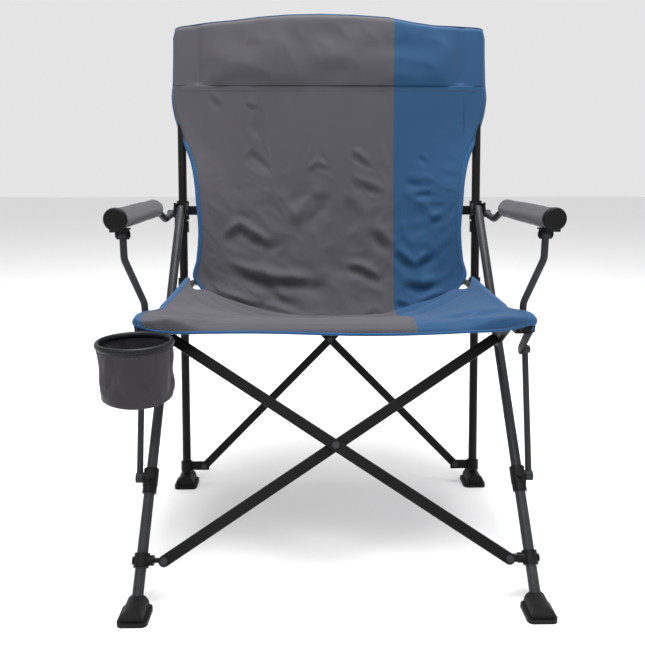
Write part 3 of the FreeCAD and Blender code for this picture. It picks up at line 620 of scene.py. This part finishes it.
def back_sheet():
    """The cloth between the headrest seam and the seat."""
    rows, cols = BACK_GRID_ROWS, WIDE_COLUMNS
    s = np.linspace(BACK_FOOT, HEAD_SEAM, rows)
    half, mid_n, edge_n = through(s, BACK_ROWS).T
    points = np.zeros((rows, cols, 3))
    flat = np.zeros((rows, cols, 2))
    for j in range(rows):
        x = columns_to(half[j])
        u = x / half[j]
        along = s[j] - FOOT_DIP * (1 - smooth((s[j] - BACK_FOOT) / FOOT_FADE)) * (1 - u**2)
        forward = mid_n[j] + (edge_n[j] - mid_n[j]) * u**2 + back_relief(x, along, u, s[j])
        wing = smooth((s[j] - WING_START) / WING_FADE)
        forward = (1 - wing) * forward + wing * edge_wrap(x, half[j]) * forward
        for i in range(cols):
            points[j, i] = on_back(x[i], along[i], forward[i])
        flat[j, :, 0] = x
        flat[j, :, 1] = s[j]
    piece = new_piece("back_sheet", points.reshape(-1, 3), grid_faces(rows, cols), "upright_left",
                      ("back_panel",))
    add_uv(piece, flat.reshape(-1, 2))
    u = np.abs(np.linspace(-1, 1, cols))[None, :].repeat(rows, 0)
    v = ((s - s[0]) / (s[-1] - s[0]))[:, None].repeat(cols, 1)
    sides, top, foot = smooth((u - 0.93) / 0.06), smooth((v - 0.955) / 0.035), smooth((0.02 - v) / 0.02)
    hold = np.maximum(sides, np.maximum(top, foot))
    slack = smooth((0.9 - v) / 0.5) * smooth((0.98 - u) / 0.15)
    settle(piece, hold.ravel(), slack.ravel(), stretch=0.035, cap=11 * MM)
    return piece, grid_area(points)


def two_colours(piece):
    """Grey left of the seam's column and blue right of it, so the seam stays sharp as the cloth moves."""
    piece.data.materials.append(GREY_CLOTH)
    piece.data.materials.append(BLUE_CLOTH)
    for index, polygon in enumerate(piece.data.polygons):
        polygon.material_index = 1 if index % (WIDE_COLUMNS - 1) >= LEFT_COLUMNS else 0


def finish_cloth(piece):
    """One subdivision, then thickness."""
    subdivide(piece)
    thicken(piece)


# ---- headrest ----
HEAD_GRID_ROWS = 34
HEAD_HALF = 338 * MM  # half width at the seam
HEAD_TAPER = 2.8 * MM  # how much narrower it is at the crown
POCKET_SEAM_X = 282 * MM  # vertical seam of each upright's pocket
POCKET_SEAM_WIDTH = 7 * MM
PILLOW_FADE = 50 * MM  # from the pocket seam to the pillow's full height
TUBE_INNER_X = 300 * MM  # where the cloth starts to pass over the upright
TUBE_FADE = 12 * MM
FRONT_BASE = 10.5 * MM  # front cloth, in front of the uprights' middle plane
FRONT_PUFF = 10 * MM
FRONT_TUBE = 1.2 * MM
FRONT_SEAM_DIP = 5 * MM
REAR_BASE = 3 * MM  # rear cloth, behind the same plane
REAR_TUBE = 8.5 * MM
REAR_PUFF = 6 * MM
REAR_SEAM_DIP = 1.5 * MM
CROWN_N = 1 * MM  # where front and rear meet at the crown
CROWN_CLOSE = 0.9  # how far they have met on the last row
HEAD_TAPE_WIDTH = 4 * MM
HEAD_TAPE_THICK = 3.4 * MM
HEAD_CENTRE = 900 * MM  # the headrest's middle, along the uprights
# x, along: the crown's outline from the left corner to the right one
CROWN = [
    (-0.3352, 0.974), (-0.3345, 0.987), (-0.331, 0.9930), (-0.322, 0.9970), (-0.262, 1.006),
    (-0.205, 1.0115), (-0.150, 1.0185), (-0.090, 1.0235), (-0.020, 1.025), (0.050, 1.0235),
    (0.125, 1.0185), (0.180, 1.008), (0.225, 1.0015), (0.275, 0.9995), (0.322, 0.9965),
    (0.331, 0.9930), (0.3345, 0.987), (0.3352, 0.974)]


def head_top(x):
    """Along-coordinate of the crown at x."""
    keys = np.array(CROWN)
    return np.interp(x, keys[:, 0], keys[:, 1])


def head_forward(x, along, t, front):
    """Forward offset of one row of the front or rear cloth, t being its share of the height."""
    pillow = smooth((POCKET_SEAM_X - np.abs(x)) / PILLOW_FADE)
    tube = smooth((np.abs(x) - TUBE_INNER_X) / TUBE_FADE)
    puff = pillow * np.sqrt(np.maximum(0, np.sin(math.pi * np.clip(t * 0.94 + 0.03, 0, 1))))
    seam = np.exp(-((np.abs(x) - POCKET_SEAM_X) / POCKET_SEAM_WIDTH) ** 2)
    if front:
        forward = FRONT_BASE + FRONT_PUFF * puff + FRONT_TUBE * tube
        forward = forward - FRONT_SEAM_DIP * seam * smooth(t / 0.06)
        forward = forward + 3 * MM * puff * rumple(x, along * 1.7, 90 * MM, 8.4)
        forward = forward + 2 * MM * puff * crumple(x, along, 50 * MM, 1.7)
    else:
        forward = -REAR_BASE - REAR_TUBE * tube - REAR_PUFF * puff + REAR_SEAM_DIP * seam
        forward = forward + 1.5 * MM * puff * rumple(x, along, 60 * MM, 2.2)
    close = 1 - CROWN_CLOSE * smooth((t - 0.93) / 0.07)
    return edge_wrap(x, np.abs(x[0])) * (forward * close + CROWN_N * (1 - close))


def head_side(front):
    """Grid of the headrest's front or rear cloth."""
    rows, cols = HEAD_GRID_ROWS, WIDE_COLUMNS
    sheet = np.zeros((rows, cols, 3))
    for j in range(rows):
        t = j / (rows - 1)
        rounded = math.sin(0.5 * math.pi * min(1.0, t * 1.02))
        x = columns_to(HEAD_HALF - HEAD_TAPER * rounded)
        along = HEAD_SEAM + (head_top(x) - HEAD_SEAM) * t
        forward = head_forward(x, along, t, front)
        for i in range(cols):
            sheet[j, i] = on_back(x[i], along[i], forward[i])
    return sheet


def headrest():
    """Padded headrest whose ends are pockets over the uprights, closed all round."""
    rows, cols = HEAD_GRID_ROWS, WIDE_COLUMNS
    front, rear = head_side(True), head_side(False)
    rear[:, 0], rear[:, -1], rear[-1] = front[:, 0], front[:, -1], front[-1]
    faces = grid_faces(rows, cols)
    faces += [tuple(rows * cols + v for v in reversed(face)) for face in grid_faces(rows, cols)]
    co = np.concatenate([front.reshape(-1, 3), rear.reshape(-1, 3)])
    piece = new_piece("headrest", co, faces, "upright_left", ("back_panel",))
    add_uv(piece, [(p[0], (Vector(p) - FOOT).dot(UP)) for p in co])
    two_colours(piece)
    weld(piece)
    subdivide(piece)
    shade_smooth(piece)
    return piece, front


def head_binding(front):
    """Piping round the headrest's sides and crown."""
    path = [row[0] for row in front] + list(front[-1, 1:-1]) + [row[-1] for row in front[::-1]]
    forward = np.array(FORWARD)
    inward = np.array(on_back(0, HEAD_CENTRE, 0)) - np.array(path)
    inward -= np.outer(inward @ forward, forward)
    inward /= np.linalg.norm(inward, axis=1, keepdims=True)
    edge = (path, inward, np.tile(forward, (len(path), 1)))
    return tape("headrest_binding", edge, "upright_left", HEAD_TAPE_WIDTH, HEAD_TAPE_THICK)


SLEEVE_FOOT = 770 * MM  # lower end of the pockets' rear cloth
SLEEVE_LAP = 4 * MM  # how far it goes under the headrest
SLEEVE_INNER_X = 290 * MM
SLEEVE_DEPTH = 11.8 * MM  # behind the uprights' middle plane
SLEEVE_TURN = 0.78  # share of the width at which it comes forward to the front cloth
SLEEVE_GRID = (24, 12)


def sleeve_depth(t):
    """Forward offset of the pocket's rear cloth, t going from its outer to its inner edge."""
    if t < SLEEVE_TURN:
        depth = -SLEEVE_DEPTH * math.sin(math.pi * min(1, t * 1.25 + 0.05)) ** 0.5
    else:
        depth = -SLEEVE_DEPTH * (1 - t) / 0.22 * 0.62
    return depth + 10 * MM * max(0, t - 0.8) / 0.2


def sleeve_backs():
    """Rear cloth of the wings below the headrest, behind each upright."""
    rows, cols = SLEEVE_GRID
    made = []
    for sign, side, material in ((-1, "left", GREY_CLOTH), (1, "right", BLUE_CLOTH)):
        s = np.linspace(SLEEVE_FOOT, HEAD_SEAM + SLEEVE_LAP, rows)
        half = through(s, BACK_ROWS)[:, 0]
        points, flat = [], []
        for j in range(rows):
            for t in (i / (cols - 1) for i in range(cols)):
                x = sign * (half[j] * (1 - t) + SLEEVE_INNER_X * t)
                points.append(on_back(x, s[j], sleeve_depth(t)))
                flat.append((x, s[j]))
        piece = new_piece("sleeve_back_" + side, points, grid_faces(rows, cols), "upright_left",
                          (), material)
        add_uv(piece, flat)
        finish_cloth(piece)
        made.append(piece)
    return made


def build_back():
    rows, cols = BACK_GRID_ROWS, WIDE_COLUMNS
    sheet, area = back_sheet()
    two_colours(sheet)
    co, normals = facing(sheet, (rows // 2) * cols + cols // 2, FORWARD)
    bindings, lines = [], []
    for side, picks in (("left", [(j, 0, j, 2) for j in range(rows - 1, -1, -1)]),
                        ("right", [(j, cols - 1, j, cols - 3) for j in range(rows)])):
        edge = edge_path(co, normals, cols, picks)
        bindings.append(tape("back_binding_" + side, edge, "upright_left"))
        path, inward, normal = (np.array(a) for a in edge)
        lines.append((path + inward * (TAPE_WIDTH * 0.8) + normal * (TAPE_THICK + STITCH_ABOVE), normal))
    thread = stitches("back_edge_stitching", lines, "upright_left", BLUE_THREAD)
    under = [(rows - HEAD_STITCH_ROW) * cols + i for i in range(4, cols - 4)]
    lines = [seam_line(co, normals, rows, cols, LEFT_COLUMNS), thread_line(co, normals, under)]
    topstitch = stitches("back_seam_stitching", lines, "upright_left", GREY_THREAD)
    finish_cloth(sheet)
    pillow, front = headrest()
    extras = bindings + [thread, topstitch, head_binding(front)] + sleeve_backs()
    for piece in [sheet, pillow] + extras:
        squash_back(piece)


# ---- seat ----
SEAT_GRID_ROWS = 76
WRAP_COLUMNS = 7  # columns of the part rolled round each rail
WRAP_TURN = math.radians(150)
WRAP_CLOTH = 0.37  # cloth between two of them on the cut, over the roll's radius
HUB_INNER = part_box("front_hub_right")[0].x - 4 * MM
HUB_COVER = HUB_INNER - 75 * MM  # from here outwards the cloth rises to pass over the hub
CLIP_X = (CLIP_LOW.x + CLIP_HIGH.x) / 2
CLIP_WIDTH = CLIP_HIGH.x - CLIP_LOW.x
CLIP_STAND = 8 * MM  # how far the front edge stands out over the cup's clip
NOTCH_X = 283 * MM  # cut-out at each rear corner
NOTCH_WIDTH = 13 * MM
NOTCH_DEPTH = 60 * MM
SIDE_BINDING = 0.9 * MM  # how far the side binding stands proud
EDGE_COLUMNS = 1  # columns of the side binding that show on top
SEAT_TAPE_WIDTH = 4.5 * MM
SEAT_STITCH_ROW = 3  # rows from the front edge to the stitches behind it
FRONT_WAVE = 2.5 * MM  # slight waviness of the front edge
CUT_LENGTH = 0.35  # of the seat's cloth, for the weave
# share of the length; y at the middle and at the edge, z at the middle and at the edge, all from the
# rail's front pin; sharpness of the rise towards the rail
SEAT_ROWS = [
    (0.00, -0.005, -0.0145, -0.0150, 0.0030, 8.0),
    (0.02, -0.004, -0.0150, -0.0118, 0.0085, 8.0),
    (0.045, -0.002, -0.0140, -0.0075, 0.0125, 8.0),
    (0.08, 0.004, -0.0100, -0.0030, 0.0155, 7.0),
    (0.14, 0.016, -0.0010, 0.0025, 0.0172, 6.0),
    (0.20, 0.032, 0.0120, 0.0065, 0.0182, 5.0),
    (0.26, 0.052, 0.0290, 0.0070, 0.0188, 4.5),
    (0.32, 0.074, 0.0500, 0.0040, 0.0190, 4.0),
    (0.45, 0.125, 0.1050, -0.0100, 0.0195, 3.6),
    (0.62, 0.190, 0.1800, -0.0280, 0.0200, 3.2),
    (0.80, 0.262, 0.2550, -0.0420, 0.0210, 3.0),
    (1.00, 0.330, 0.3330, -0.0530, 0.0220, 3.0)]
# y from the rail's front pin, outer x of the cloth, radius of its rolled side
SIDE_ROWS = [
    (-0.0150, 0.3290, 0.0060), (-0.0100, 0.3345, 0.0080), (0.0020, 0.3375, 0.0110),
    (0.0170, 0.3375, 0.0120), (0.0260, 0.3300, 0.0110), (0.0330, 0.3175, 0.0090),
    (0.0430, 0.3098, 0.0083), (0.0800, 0.3090, 0.0083), (0.3340, 0.3090, 0.0083)]
# folds in the seat, in mm from the rails' front pins: path of (x, back), width, height
SEAT_FOLDS = [
    (((-292, 320), (-230, 270), (-120, 200)), 13, 6), (((-292, 285), (-160, 120)), 15, 4),
    (((-285, 330), (-60, 270)), 12, 6), (((120, 200), (230, 270), (292, 320)), 13, 6),
    (((170, 110), (292, 280)), 15, 4), (((80, 280), (285, 330)), 12, 6),
    (((-290, 75), (-150, 70)), 14, 3), (((160, 66), (290, 72)), 13, 4), (((225, 44), (300, 34)), 9, 4)]


def squash_seat(piece):
    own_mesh(piece)


def seat_row(t, key, x, u):
    """y and z from the rail's front pin across one row; key is that row of SEAT_ROWS' curve."""
    y_mid, y_edge, z_mid, z_edge, sharp = key
    slope = (RAIL_REAR_Z - RAIL_FRONT_Z) / (RAIL_REAR_Y - RAIL_FRONT_Y)
    over_hub = smooth((np.abs(x) - HUB_COVER) / (HUB_INNER - HUB_COVER))
    early = u**8 + (over_hub - u**8) * smooth((t - 0.015) / 0.05)
    late = smooth((t - 0.24) / 0.2)
    bend = (1 - late) * early + late * u**sharp
    notch = NOTCH_DEPTH * np.exp(-(((np.abs(x) - NOTCH_X) / NOTCH_WIDTH) ** 2))
    clip = smooth(1.6 - np.abs(x - CLIP_X) / (0.7 * CLIP_WIDTH)) * smooth((0.09 - t) / 0.03)
    y = y_mid + (y_edge - y_mid) * over_hub - notch * smooth((t - 0.7) / 0.3) - CLIP_STAND * clip
    z = z_mid + (z_edge + slope * y_edge - z_mid) * bend
    calm = smooth((1 - u) / 0.06) * smooth((t - 0.1) / 0.12)
    z = z + calm * sum(crease(x, y, fold) for fold in SEAT_FOLDS)
    z = z + 2 * MM * calm * crumple(x, y, 75 * MM, 5.5)
    z = z - FRONT_WAVE * smooth((0.05 - t) / 0.05) * (1 - bend) * np.sin(x * 14 + 0.6)
    return y, z


def seat_sheet():
    """Cloth hung between the rails: rolled round them at the sides, over the hubs at the front corners."""
    rows, wrap = SEAT_GRID_ROWS, WRAP_COLUMNS
    cols = WIDE_COLUMNS + 2 * wrap
    t = np.linspace(0, 1, rows) ** 1.15
    keys = through(t, SEAT_ROWS)
    outer, roll = through(np.clip(keys[:, 1], SIDE_ROWS[0][0], SIDE_ROWS[-1][0]), SIDE_ROWS).T
    points = np.zeros((rows, cols, 3))
    flat = np.zeros((rows, cols, 2))
    for j in range(rows):
        half = outer[j] - roll[j]
        x = columns_to(half)
        y, z = seat_row(t[j], keys[j], x, np.abs(x) / half)
        y, z = RAIL_FRONT_Y + y, RAIL_FRONT_Z + z
        points[j, wrap:wrap + WIDE_COLUMNS] = np.stack([x, y, z], 1)
        for k in range(wrap):
            turn = WRAP_TURN * (k + 1) / wrap
            dx, dz = roll[j] * math.sin(turn), roll[j] * (math.cos(turn) - 1)
            points[j, wrap + WIDE_COLUMNS + k] = (half + dx, y[-1], z[-1] + dz)
            points[j, wrap - 1 - k] = (-half - dx, y[-1], z[0] + dz)
        rolled = roll[j] * np.arange(1, wrap + 1) * WRAP_CLOTH
        flat[j, :, 0] = np.concatenate([-half - rolled[::-1], x, half + rolled])
        flat[j, :, 1] = CUT_LENGTH * t[j]
    piece = new_piece("seat_sheet", points.reshape(-1, 3), grid_faces(rows, cols), "rail_left",
                      ("seat_sling",))
    add_uv(piece, flat.reshape(-1, 2))
    u = np.abs(np.linspace(-1, 1, cols))[None, :].repeat(rows, 0)
    v = t[:, None].repeat(cols, 1)
    sides, lip, rear = smooth((u - 0.80) / 0.07), smooth((0.16 - v) / 0.06), smooth((v - 0.985) / 0.015)
    hold = np.maximum(sides, np.maximum(lip, rear))
    slack = smooth((v - 0.2) / 0.4) * smooth((0.9 - u) / 0.15)
    settle(piece, hold.ravel(), slack.ravel(), stretch=0.02, cap=7 * MM)
    return piece, grid_area(points)


def colour_seat(sheet, cols):
    """Grey and blue cloth, and the binding's cloth along both sides."""
    for material in (GREY_CLOTH, BLUE_CLOTH, BLUE_TAPE):
        sheet.data.materials.append(material)
    bound = WRAP_COLUMNS + EDGE_COLUMNS
    for index, polygon in enumerate(sheet.data.polygons):
        column = index % (cols - 1)
        if column >= WRAP_COLUMNS + LEFT_COLUMNS:
            polygon.material_index = 1
        if column < bound or column >= cols - 1 - bound:
            polygon.material_index = 2


def build_seat():
    rows, cols = SEAT_GRID_ROWS, WIDE_COLUMNS + 2 * WRAP_COLUMNS
    sheet, area = seat_sheet()
    colour_seat(sheet, cols)
    co, normals = facing(sheet, (rows // 2) * cols + cols // 2, (0, 0, 1))
    bound = WRAP_COLUMNS + EDGE_COLUMNS
    column_of = np.arange(len(co)) % cols
    proud = (column_of <= bound - 1) | (column_of >= cols - bound)
    co = co + normals * (proud * SIDE_BINDING)[:, None]
    put_coordinates(sheet.data, co)
    edge = edge_path(co, normals, cols, [(0, i, 1, i) for i in range(cols)])
    lip = tape("seat_front_binding", edge, "rail_left", width=SEAT_TAPE_WIDTH)
    lines = []
    for column in (bound, cols - 1 - bound):
        lines.append(thread_line(co, normals, [j * cols + column for j in range(SEAT_STITCH_ROW, rows)]))
    behind_lip = [SEAT_STITCH_ROW * cols + i for i in range(WRAP_COLUMNS, cols - WRAP_COLUMNS)]
    lines.append(thread_line(co, normals, behind_lip))
    lines.append(seam_line(co, normals, rows, cols, WRAP_COLUMNS + LEFT_COLUMNS))
    thread = stitches("seat_stitching", lines, "rail_left", GREY_THREAD)
    finish_cloth(sheet)
    for piece in (lip, thread, sheet):
        squash_seat(piece)


# ---- cup holder ----
BAG_SHORT = 17 * MM  # the cloth bag ends this far above the CAD pocket's bottom
BAG_THICK = 1.2 * MM
BAG_AROUND = 120
BAG_DOWN = 34  # rings of the wall
BAG_RINGS = 9  # rings of the bottom
BAG_TAPER = 2.5 * MM
BAG_BELLY = 1 * MM
BAG_DENT = 5.78 * MM  # broad dents in the wall
BAG_PLEAT = 1.5 * MM  # and the pleats over them
BAG_SAG = 2 * MM
RING_TUBE = 3 * MM  # radius of the CAD ring's tube
HANG = 3.4 * MM  # top of the bag below the ring's middle
RIM_HALF = 3.9 * MM  # half width of the rim band's section
RIM_TALL = 10.5 * MM
RIM_DROP = 1.2 * MM  # its middle below the ring's middle
RIM_SIDES = 10
CUP_STITCH_DROP = 10.5 * MM
CUP_GIRTH = 0.35  # round the bag, for the weave


def bag_wall(centre, ring_r, depth):
    """Points of the wall and their places on the cut cloth."""
    points, flat = [], []
    for t in (j / (BAG_DOWN - 1) for j in range(BAG_DOWN)):
        swell = math.sin(math.pi * min(1, t * 1.05)) ** 0.6
        for i in range(BAG_AROUND):
            angle = 2 * math.pi * i / BAG_AROUND
            dent = noise.noise(Vector((2.2 * math.cos(angle), 2.2 * math.sin(angle), 2.6 * t)))
            pleat = math.sin(6 * angle + 9 * t + 1.7 * math.sin(3 * angle))
            radius = ring_r - BAG_TAPER * t + BAG_BELLY * math.sin(math.pi * t) ** 0.7
            radius += swell * (BAG_DENT * dent + BAG_PLEAT * pleat)
            sag = BAG_SAG * t * math.sin(2 * angle + 0.8)
            z = centre.z - HANG - (depth - 2 * MM) * t + sag * t
            points.append((centre.x + radius * math.cos(angle), centre.y + radius * math.sin(angle), z))
            flat.append((i / BAG_AROUND * CUP_GIRTH, t * depth))
    return points, flat


def bag_bottom(wall, centre, bottom):
    """Rings from the wall's lower edge in to the middle of the bottom."""
    points, flat = [], []
    middle_point = Vector((centre.x, centre.y, bottom + 3 * MM))
    for share in (1 - k / (BAG_RINGS + 0.6) for k in range(1, BAG_RINGS + 1)):
        for edge in (Vector(p) for p in wall[-BAG_AROUND:]):
            p = middle_point + (edge - middle_point) * share
            p.z = edge.z * share + (bottom + 2.4 * MM) * (1 - share)
            points.append(tuple(p))
            flat.append((edge.x * share, edge.y * share))
    return points, flat


def cup_bag(centre, ring_r, depth, bottom):
    wall, wall_flat = bag_wall(centre, ring_r, depth)
    floor, floor_flat = bag_bottom(wall, centre, bottom)
    rings = BAG_DOWN + BAG_RINGS
    faces = grid_faces(rings, BAG_AROUND, around=True) + ring_caps(rings, BAG_AROUND)[1:]
    bag = new_piece("cup_bag", wall + floor, faces, "cup", ("cup_pocket",), CUP_CLOTH)
    add_uv(bag, wall_flat + floor_flat)
    ring = np.arange(rings * BAG_AROUND) // BAG_AROUND
    share = np.clip(ring / (BAG_DOWN - 1), 0, 1)
    hold = np.maximum(smooth((0.08 - share) / 0.08), smooth((share - 0.93) / 0.07) * 0.8)
    hold[ring > BAG_DOWN] = 0.9
    slack = smooth(share / 0.15) * smooth((1 - share) / 0.1)
    settle(bag, hold, slack, stretch=0.04, cap=4 * MM, frames=16, gravity=0.8)
    subdivide(bag)
    thicken(bag, BAG_THICK)
    return bag


def cup_rim(centre, ring_r):
    """Moulded band over the ring, which holds the bag's hem."""
    points, faces, flat = [], [], []
    for i in range(BAG_AROUND):
        angle = 2 * math.pi * i / BAG_AROUND
        uneven = 1.0 + 0.01 * math.sin(3 * angle)
        for k in range(RIM_SIDES):
            turn = 2 * math.pi * k / RIM_SIDES
            r = ring_r + 0.2 * MM + RIM_HALF * math.cos(turn) * uneven
            z = centre.z - RIM_DROP + RIM_TALL / 2 * math.sin(turn)
            points.append((centre.x + r * math.cos(angle), centre.y + r * math.sin(angle), z))
            flat.append((k * 2 * MM, i / BAG_AROUND * CUP_GIRTH))
            a, b = i * RIM_SIDES, ((i + 1) % BAG_AROUND) * RIM_SIDES
            faces.append((a + k, b + k, b + (k + 1) % RIM_SIDES, a + (k + 1) % RIM_SIDES))
    rim = new_piece("cup_hem", points, faces, "cup", (), RIM_PLASTIC)
    add_uv(rim, flat)
    return rim


def build_cup():
    """Cloth cup held by the ring's band, with a sewn-in bottom."""
    low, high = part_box("cup_ring")
    pocket_low, pocket_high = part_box("cup_pocket")
    ring_r = (high.x - low.x) / 2 - RING_TUBE
    centre = Vector(((low.x + high.x) / 2, low.y + ring_r + RING_TUBE, pocket_high.z + 3 * MM))
    depth = pocket_high.z - pocket_low.z - BAG_SHORT
    bag = cup_bag(centre, ring_r, depth, pocket_low.z + BAG_SHORT)
    rim = cup_rim(centre, ring_r)
    out = [Vector((math.cos(a), math.sin(a), 0)) for a in np.linspace(0, 2 * math.pi, 180)]
    start = centre - Vector((0, 0, CUP_STITCH_DROP))
    line = ([start + v * (ring_r + 1 * MM) for v in out], out)
    thread = stitches("cup_stitching", [line], "cup", GREY_THREAD)


# ---- arm pads ----
PAD_GRID = (70, 40)
PAD_FULL = 0.93  # share of the sleeve's length at full thickness
NECK_SHARE = 0.56  # thickness of the sleeve's end on the tube's neck
NECK_REACH = 22 * MM
NECK_DROP = 9 * MM
PAD_LUMP = 0.9 * MM  # unevenness of the foam
PAD_SEAM_DIP = 1.1 * MM
PAD_FLAT = 0.03  # how much flatter than wide the sleeve is
PAD_STITCH_STEP = 10 * MM
PAD_STITCH_STEPS = 24
PAD_STITCH_X = 2.4 * MM  # from the seam's line to its stitches


def build_pad(side):
    """Foam sleeve in cloth, with a sewn seam under it and a rear end that narrows down the tube's neck."""
    low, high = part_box("arm_pad_" + side)
    radius = (high.x - low.x) / 2
    x0, z0 = (low.x + high.x) / 2, (low.z + high.z) / 2
    rows, around = PAD_GRID
    points, flat = [], []
    for t in (j / (rows - 1) for j in range(rows)):
        y = low.y + 0.2 * MM + (high.y + NECK_REACH - low.y) * t
        begin = float(smooth(t / 0.012))
        end = float(smooth((PAD_FULL - t) / 0.07 + 1))
        shrink = (NECK_SHARE + (1 - NECK_SHARE) * end) * (0.94 + 0.06 * begin)
        drop = -NECK_DROP * max(0.0, (t - PAD_FULL) / (1 - PAD_FULL)) ** 1.3
        for i in range(around):
            angle = 2 * math.pi * i / around
            lump = noise.noise(Vector((math.cos(angle) * 1.4, math.sin(angle) * 1.4, y * 16)))
            seam = math.exp(-((angle - 1.5 * math.pi) / 0.10) ** 2)
            flatten = 1 - PAD_FLAT * math.sin(angle) ** 2
            r = radius * shrink * flatten + PAD_LUMP * lump * end - PAD_SEAM_DIP * seam
            points.append((x0 + r * math.cos(angle), y, z0 + drop + r * math.sin(angle)))
            flat.append((angle * radius, y))
    faces = grid_faces(rows, around, around=True) + ring_caps(rows, around)
    body = "arm_" + side
    pad = new_piece("pad_sleeve_" + side, points, faces, body, ("arm_pad_" + side,), PAD_CLOTH)
    add_uv(pad, flat)
    subdivide(pad)
    shade_smooth(pad)
    start = Vector((x0 - PAD_STITCH_X, low.y + PAD_STITCH_STEP, z0 - radius + 0.5 * MM))
    line = [start + Vector((0, k * PAD_STITCH_STEP, 0)) for k in range(PAD_STITCH_STEPS)]
    down = [Vector((0, 0, -1))] * len(line)
    stitches("pad_stitching_" + side, [(line, down)], body, GREY_THREAD)


# ---- stage ----
FLOOR_REACH = 14.0
FLOOR_GREY = 0.86
SKY_STRENGTH = 0.78
LIGHT_AIM = Vector((0, 0, 0.5))
LIGHTS = [  # name, place, watts, width
    ("key", (-1.4, -2.2, 3.2), 40, 1.8), ("fill", (2.4, -2.2, 1.8), 8, 2.6),
    ("top", (0.1, -0.1, 3.3), 165, 1.8)]
LENS = 38.85
SENSOR = 36
CAMERA_PLACE = (-0.0383, -1.2788, 0.6993)
CAMERA_DOWN = math.radians(12.84)
CAMERA_YAW = math.radians(-0.84)


def build_floor():
    mesh = bpy.data.meshes.new("floor")
    corners = [(FLOOR_REACH * a, FLOOR_REACH * b, 0) for a, b in ((-1, -1), (1, -1), (1, 1), (-1, 1))]
    mesh.from_pydata(corners, [], [(0, 1, 2, 3)])
    floor = bpy.data.objects.new("floor", mesh)
    bpy.context.scene.collection.objects.link(floor)
    n = Nodes("pale_floor")
    n.shade(Base_Color=(FLOOR_GREY, FLOOR_GREY, FLOOR_GREY, 1), Roughness=0.9)
    mesh.materials.append(n.material)


def build_lights():
    world = bpy.data.worlds.new("studio")
    world.use_nodes = True
    background = world.node_tree.nodes["Background"]
    background.inputs["Color"].default_value = (1, 1, 1, 1)
    background.inputs["Strength"].default_value = SKY_STRENGTH
    bpy.context.scene.world = world
    for name, place, watts, width in LIGHTS:
        light = bpy.data.lights.new(name, "AREA")
        light.energy = watts
        light.size = width
        lamp = bpy.data.objects.new(name, light)
        lamp.location = place
        lamp.rotation_mode = "QUATERNION"
        lamp.rotation_quaternion = (LIGHT_AIM - Vector(place)).to_track_quat("-Z", "Y")
        bpy.context.scene.collection.objects.link(lamp)


def build_camera():
    camera = bpy.data.cameras.new("camera")
    camera.lens = LENS
    camera.sensor_width = SENSOR
    view = bpy.data.objects.new("camera", camera)
    view.location = CAMERA_PLACE
    view.rotation_euler = (math.pi / 2 - CAMERA_DOWN, 0, CAMERA_YAW)
    bpy.context.scene.collection.objects.link(view)
    bpy.context.scene.camera = view
    bpy.context.scene.view_settings.view_transform = "Standard"


paint_frame()
build_floor()
build_lights()
build_camera()
build_back()
build_seat()
build_cup()
for side_name in ("left", "right"):
    build_pad(side_name)
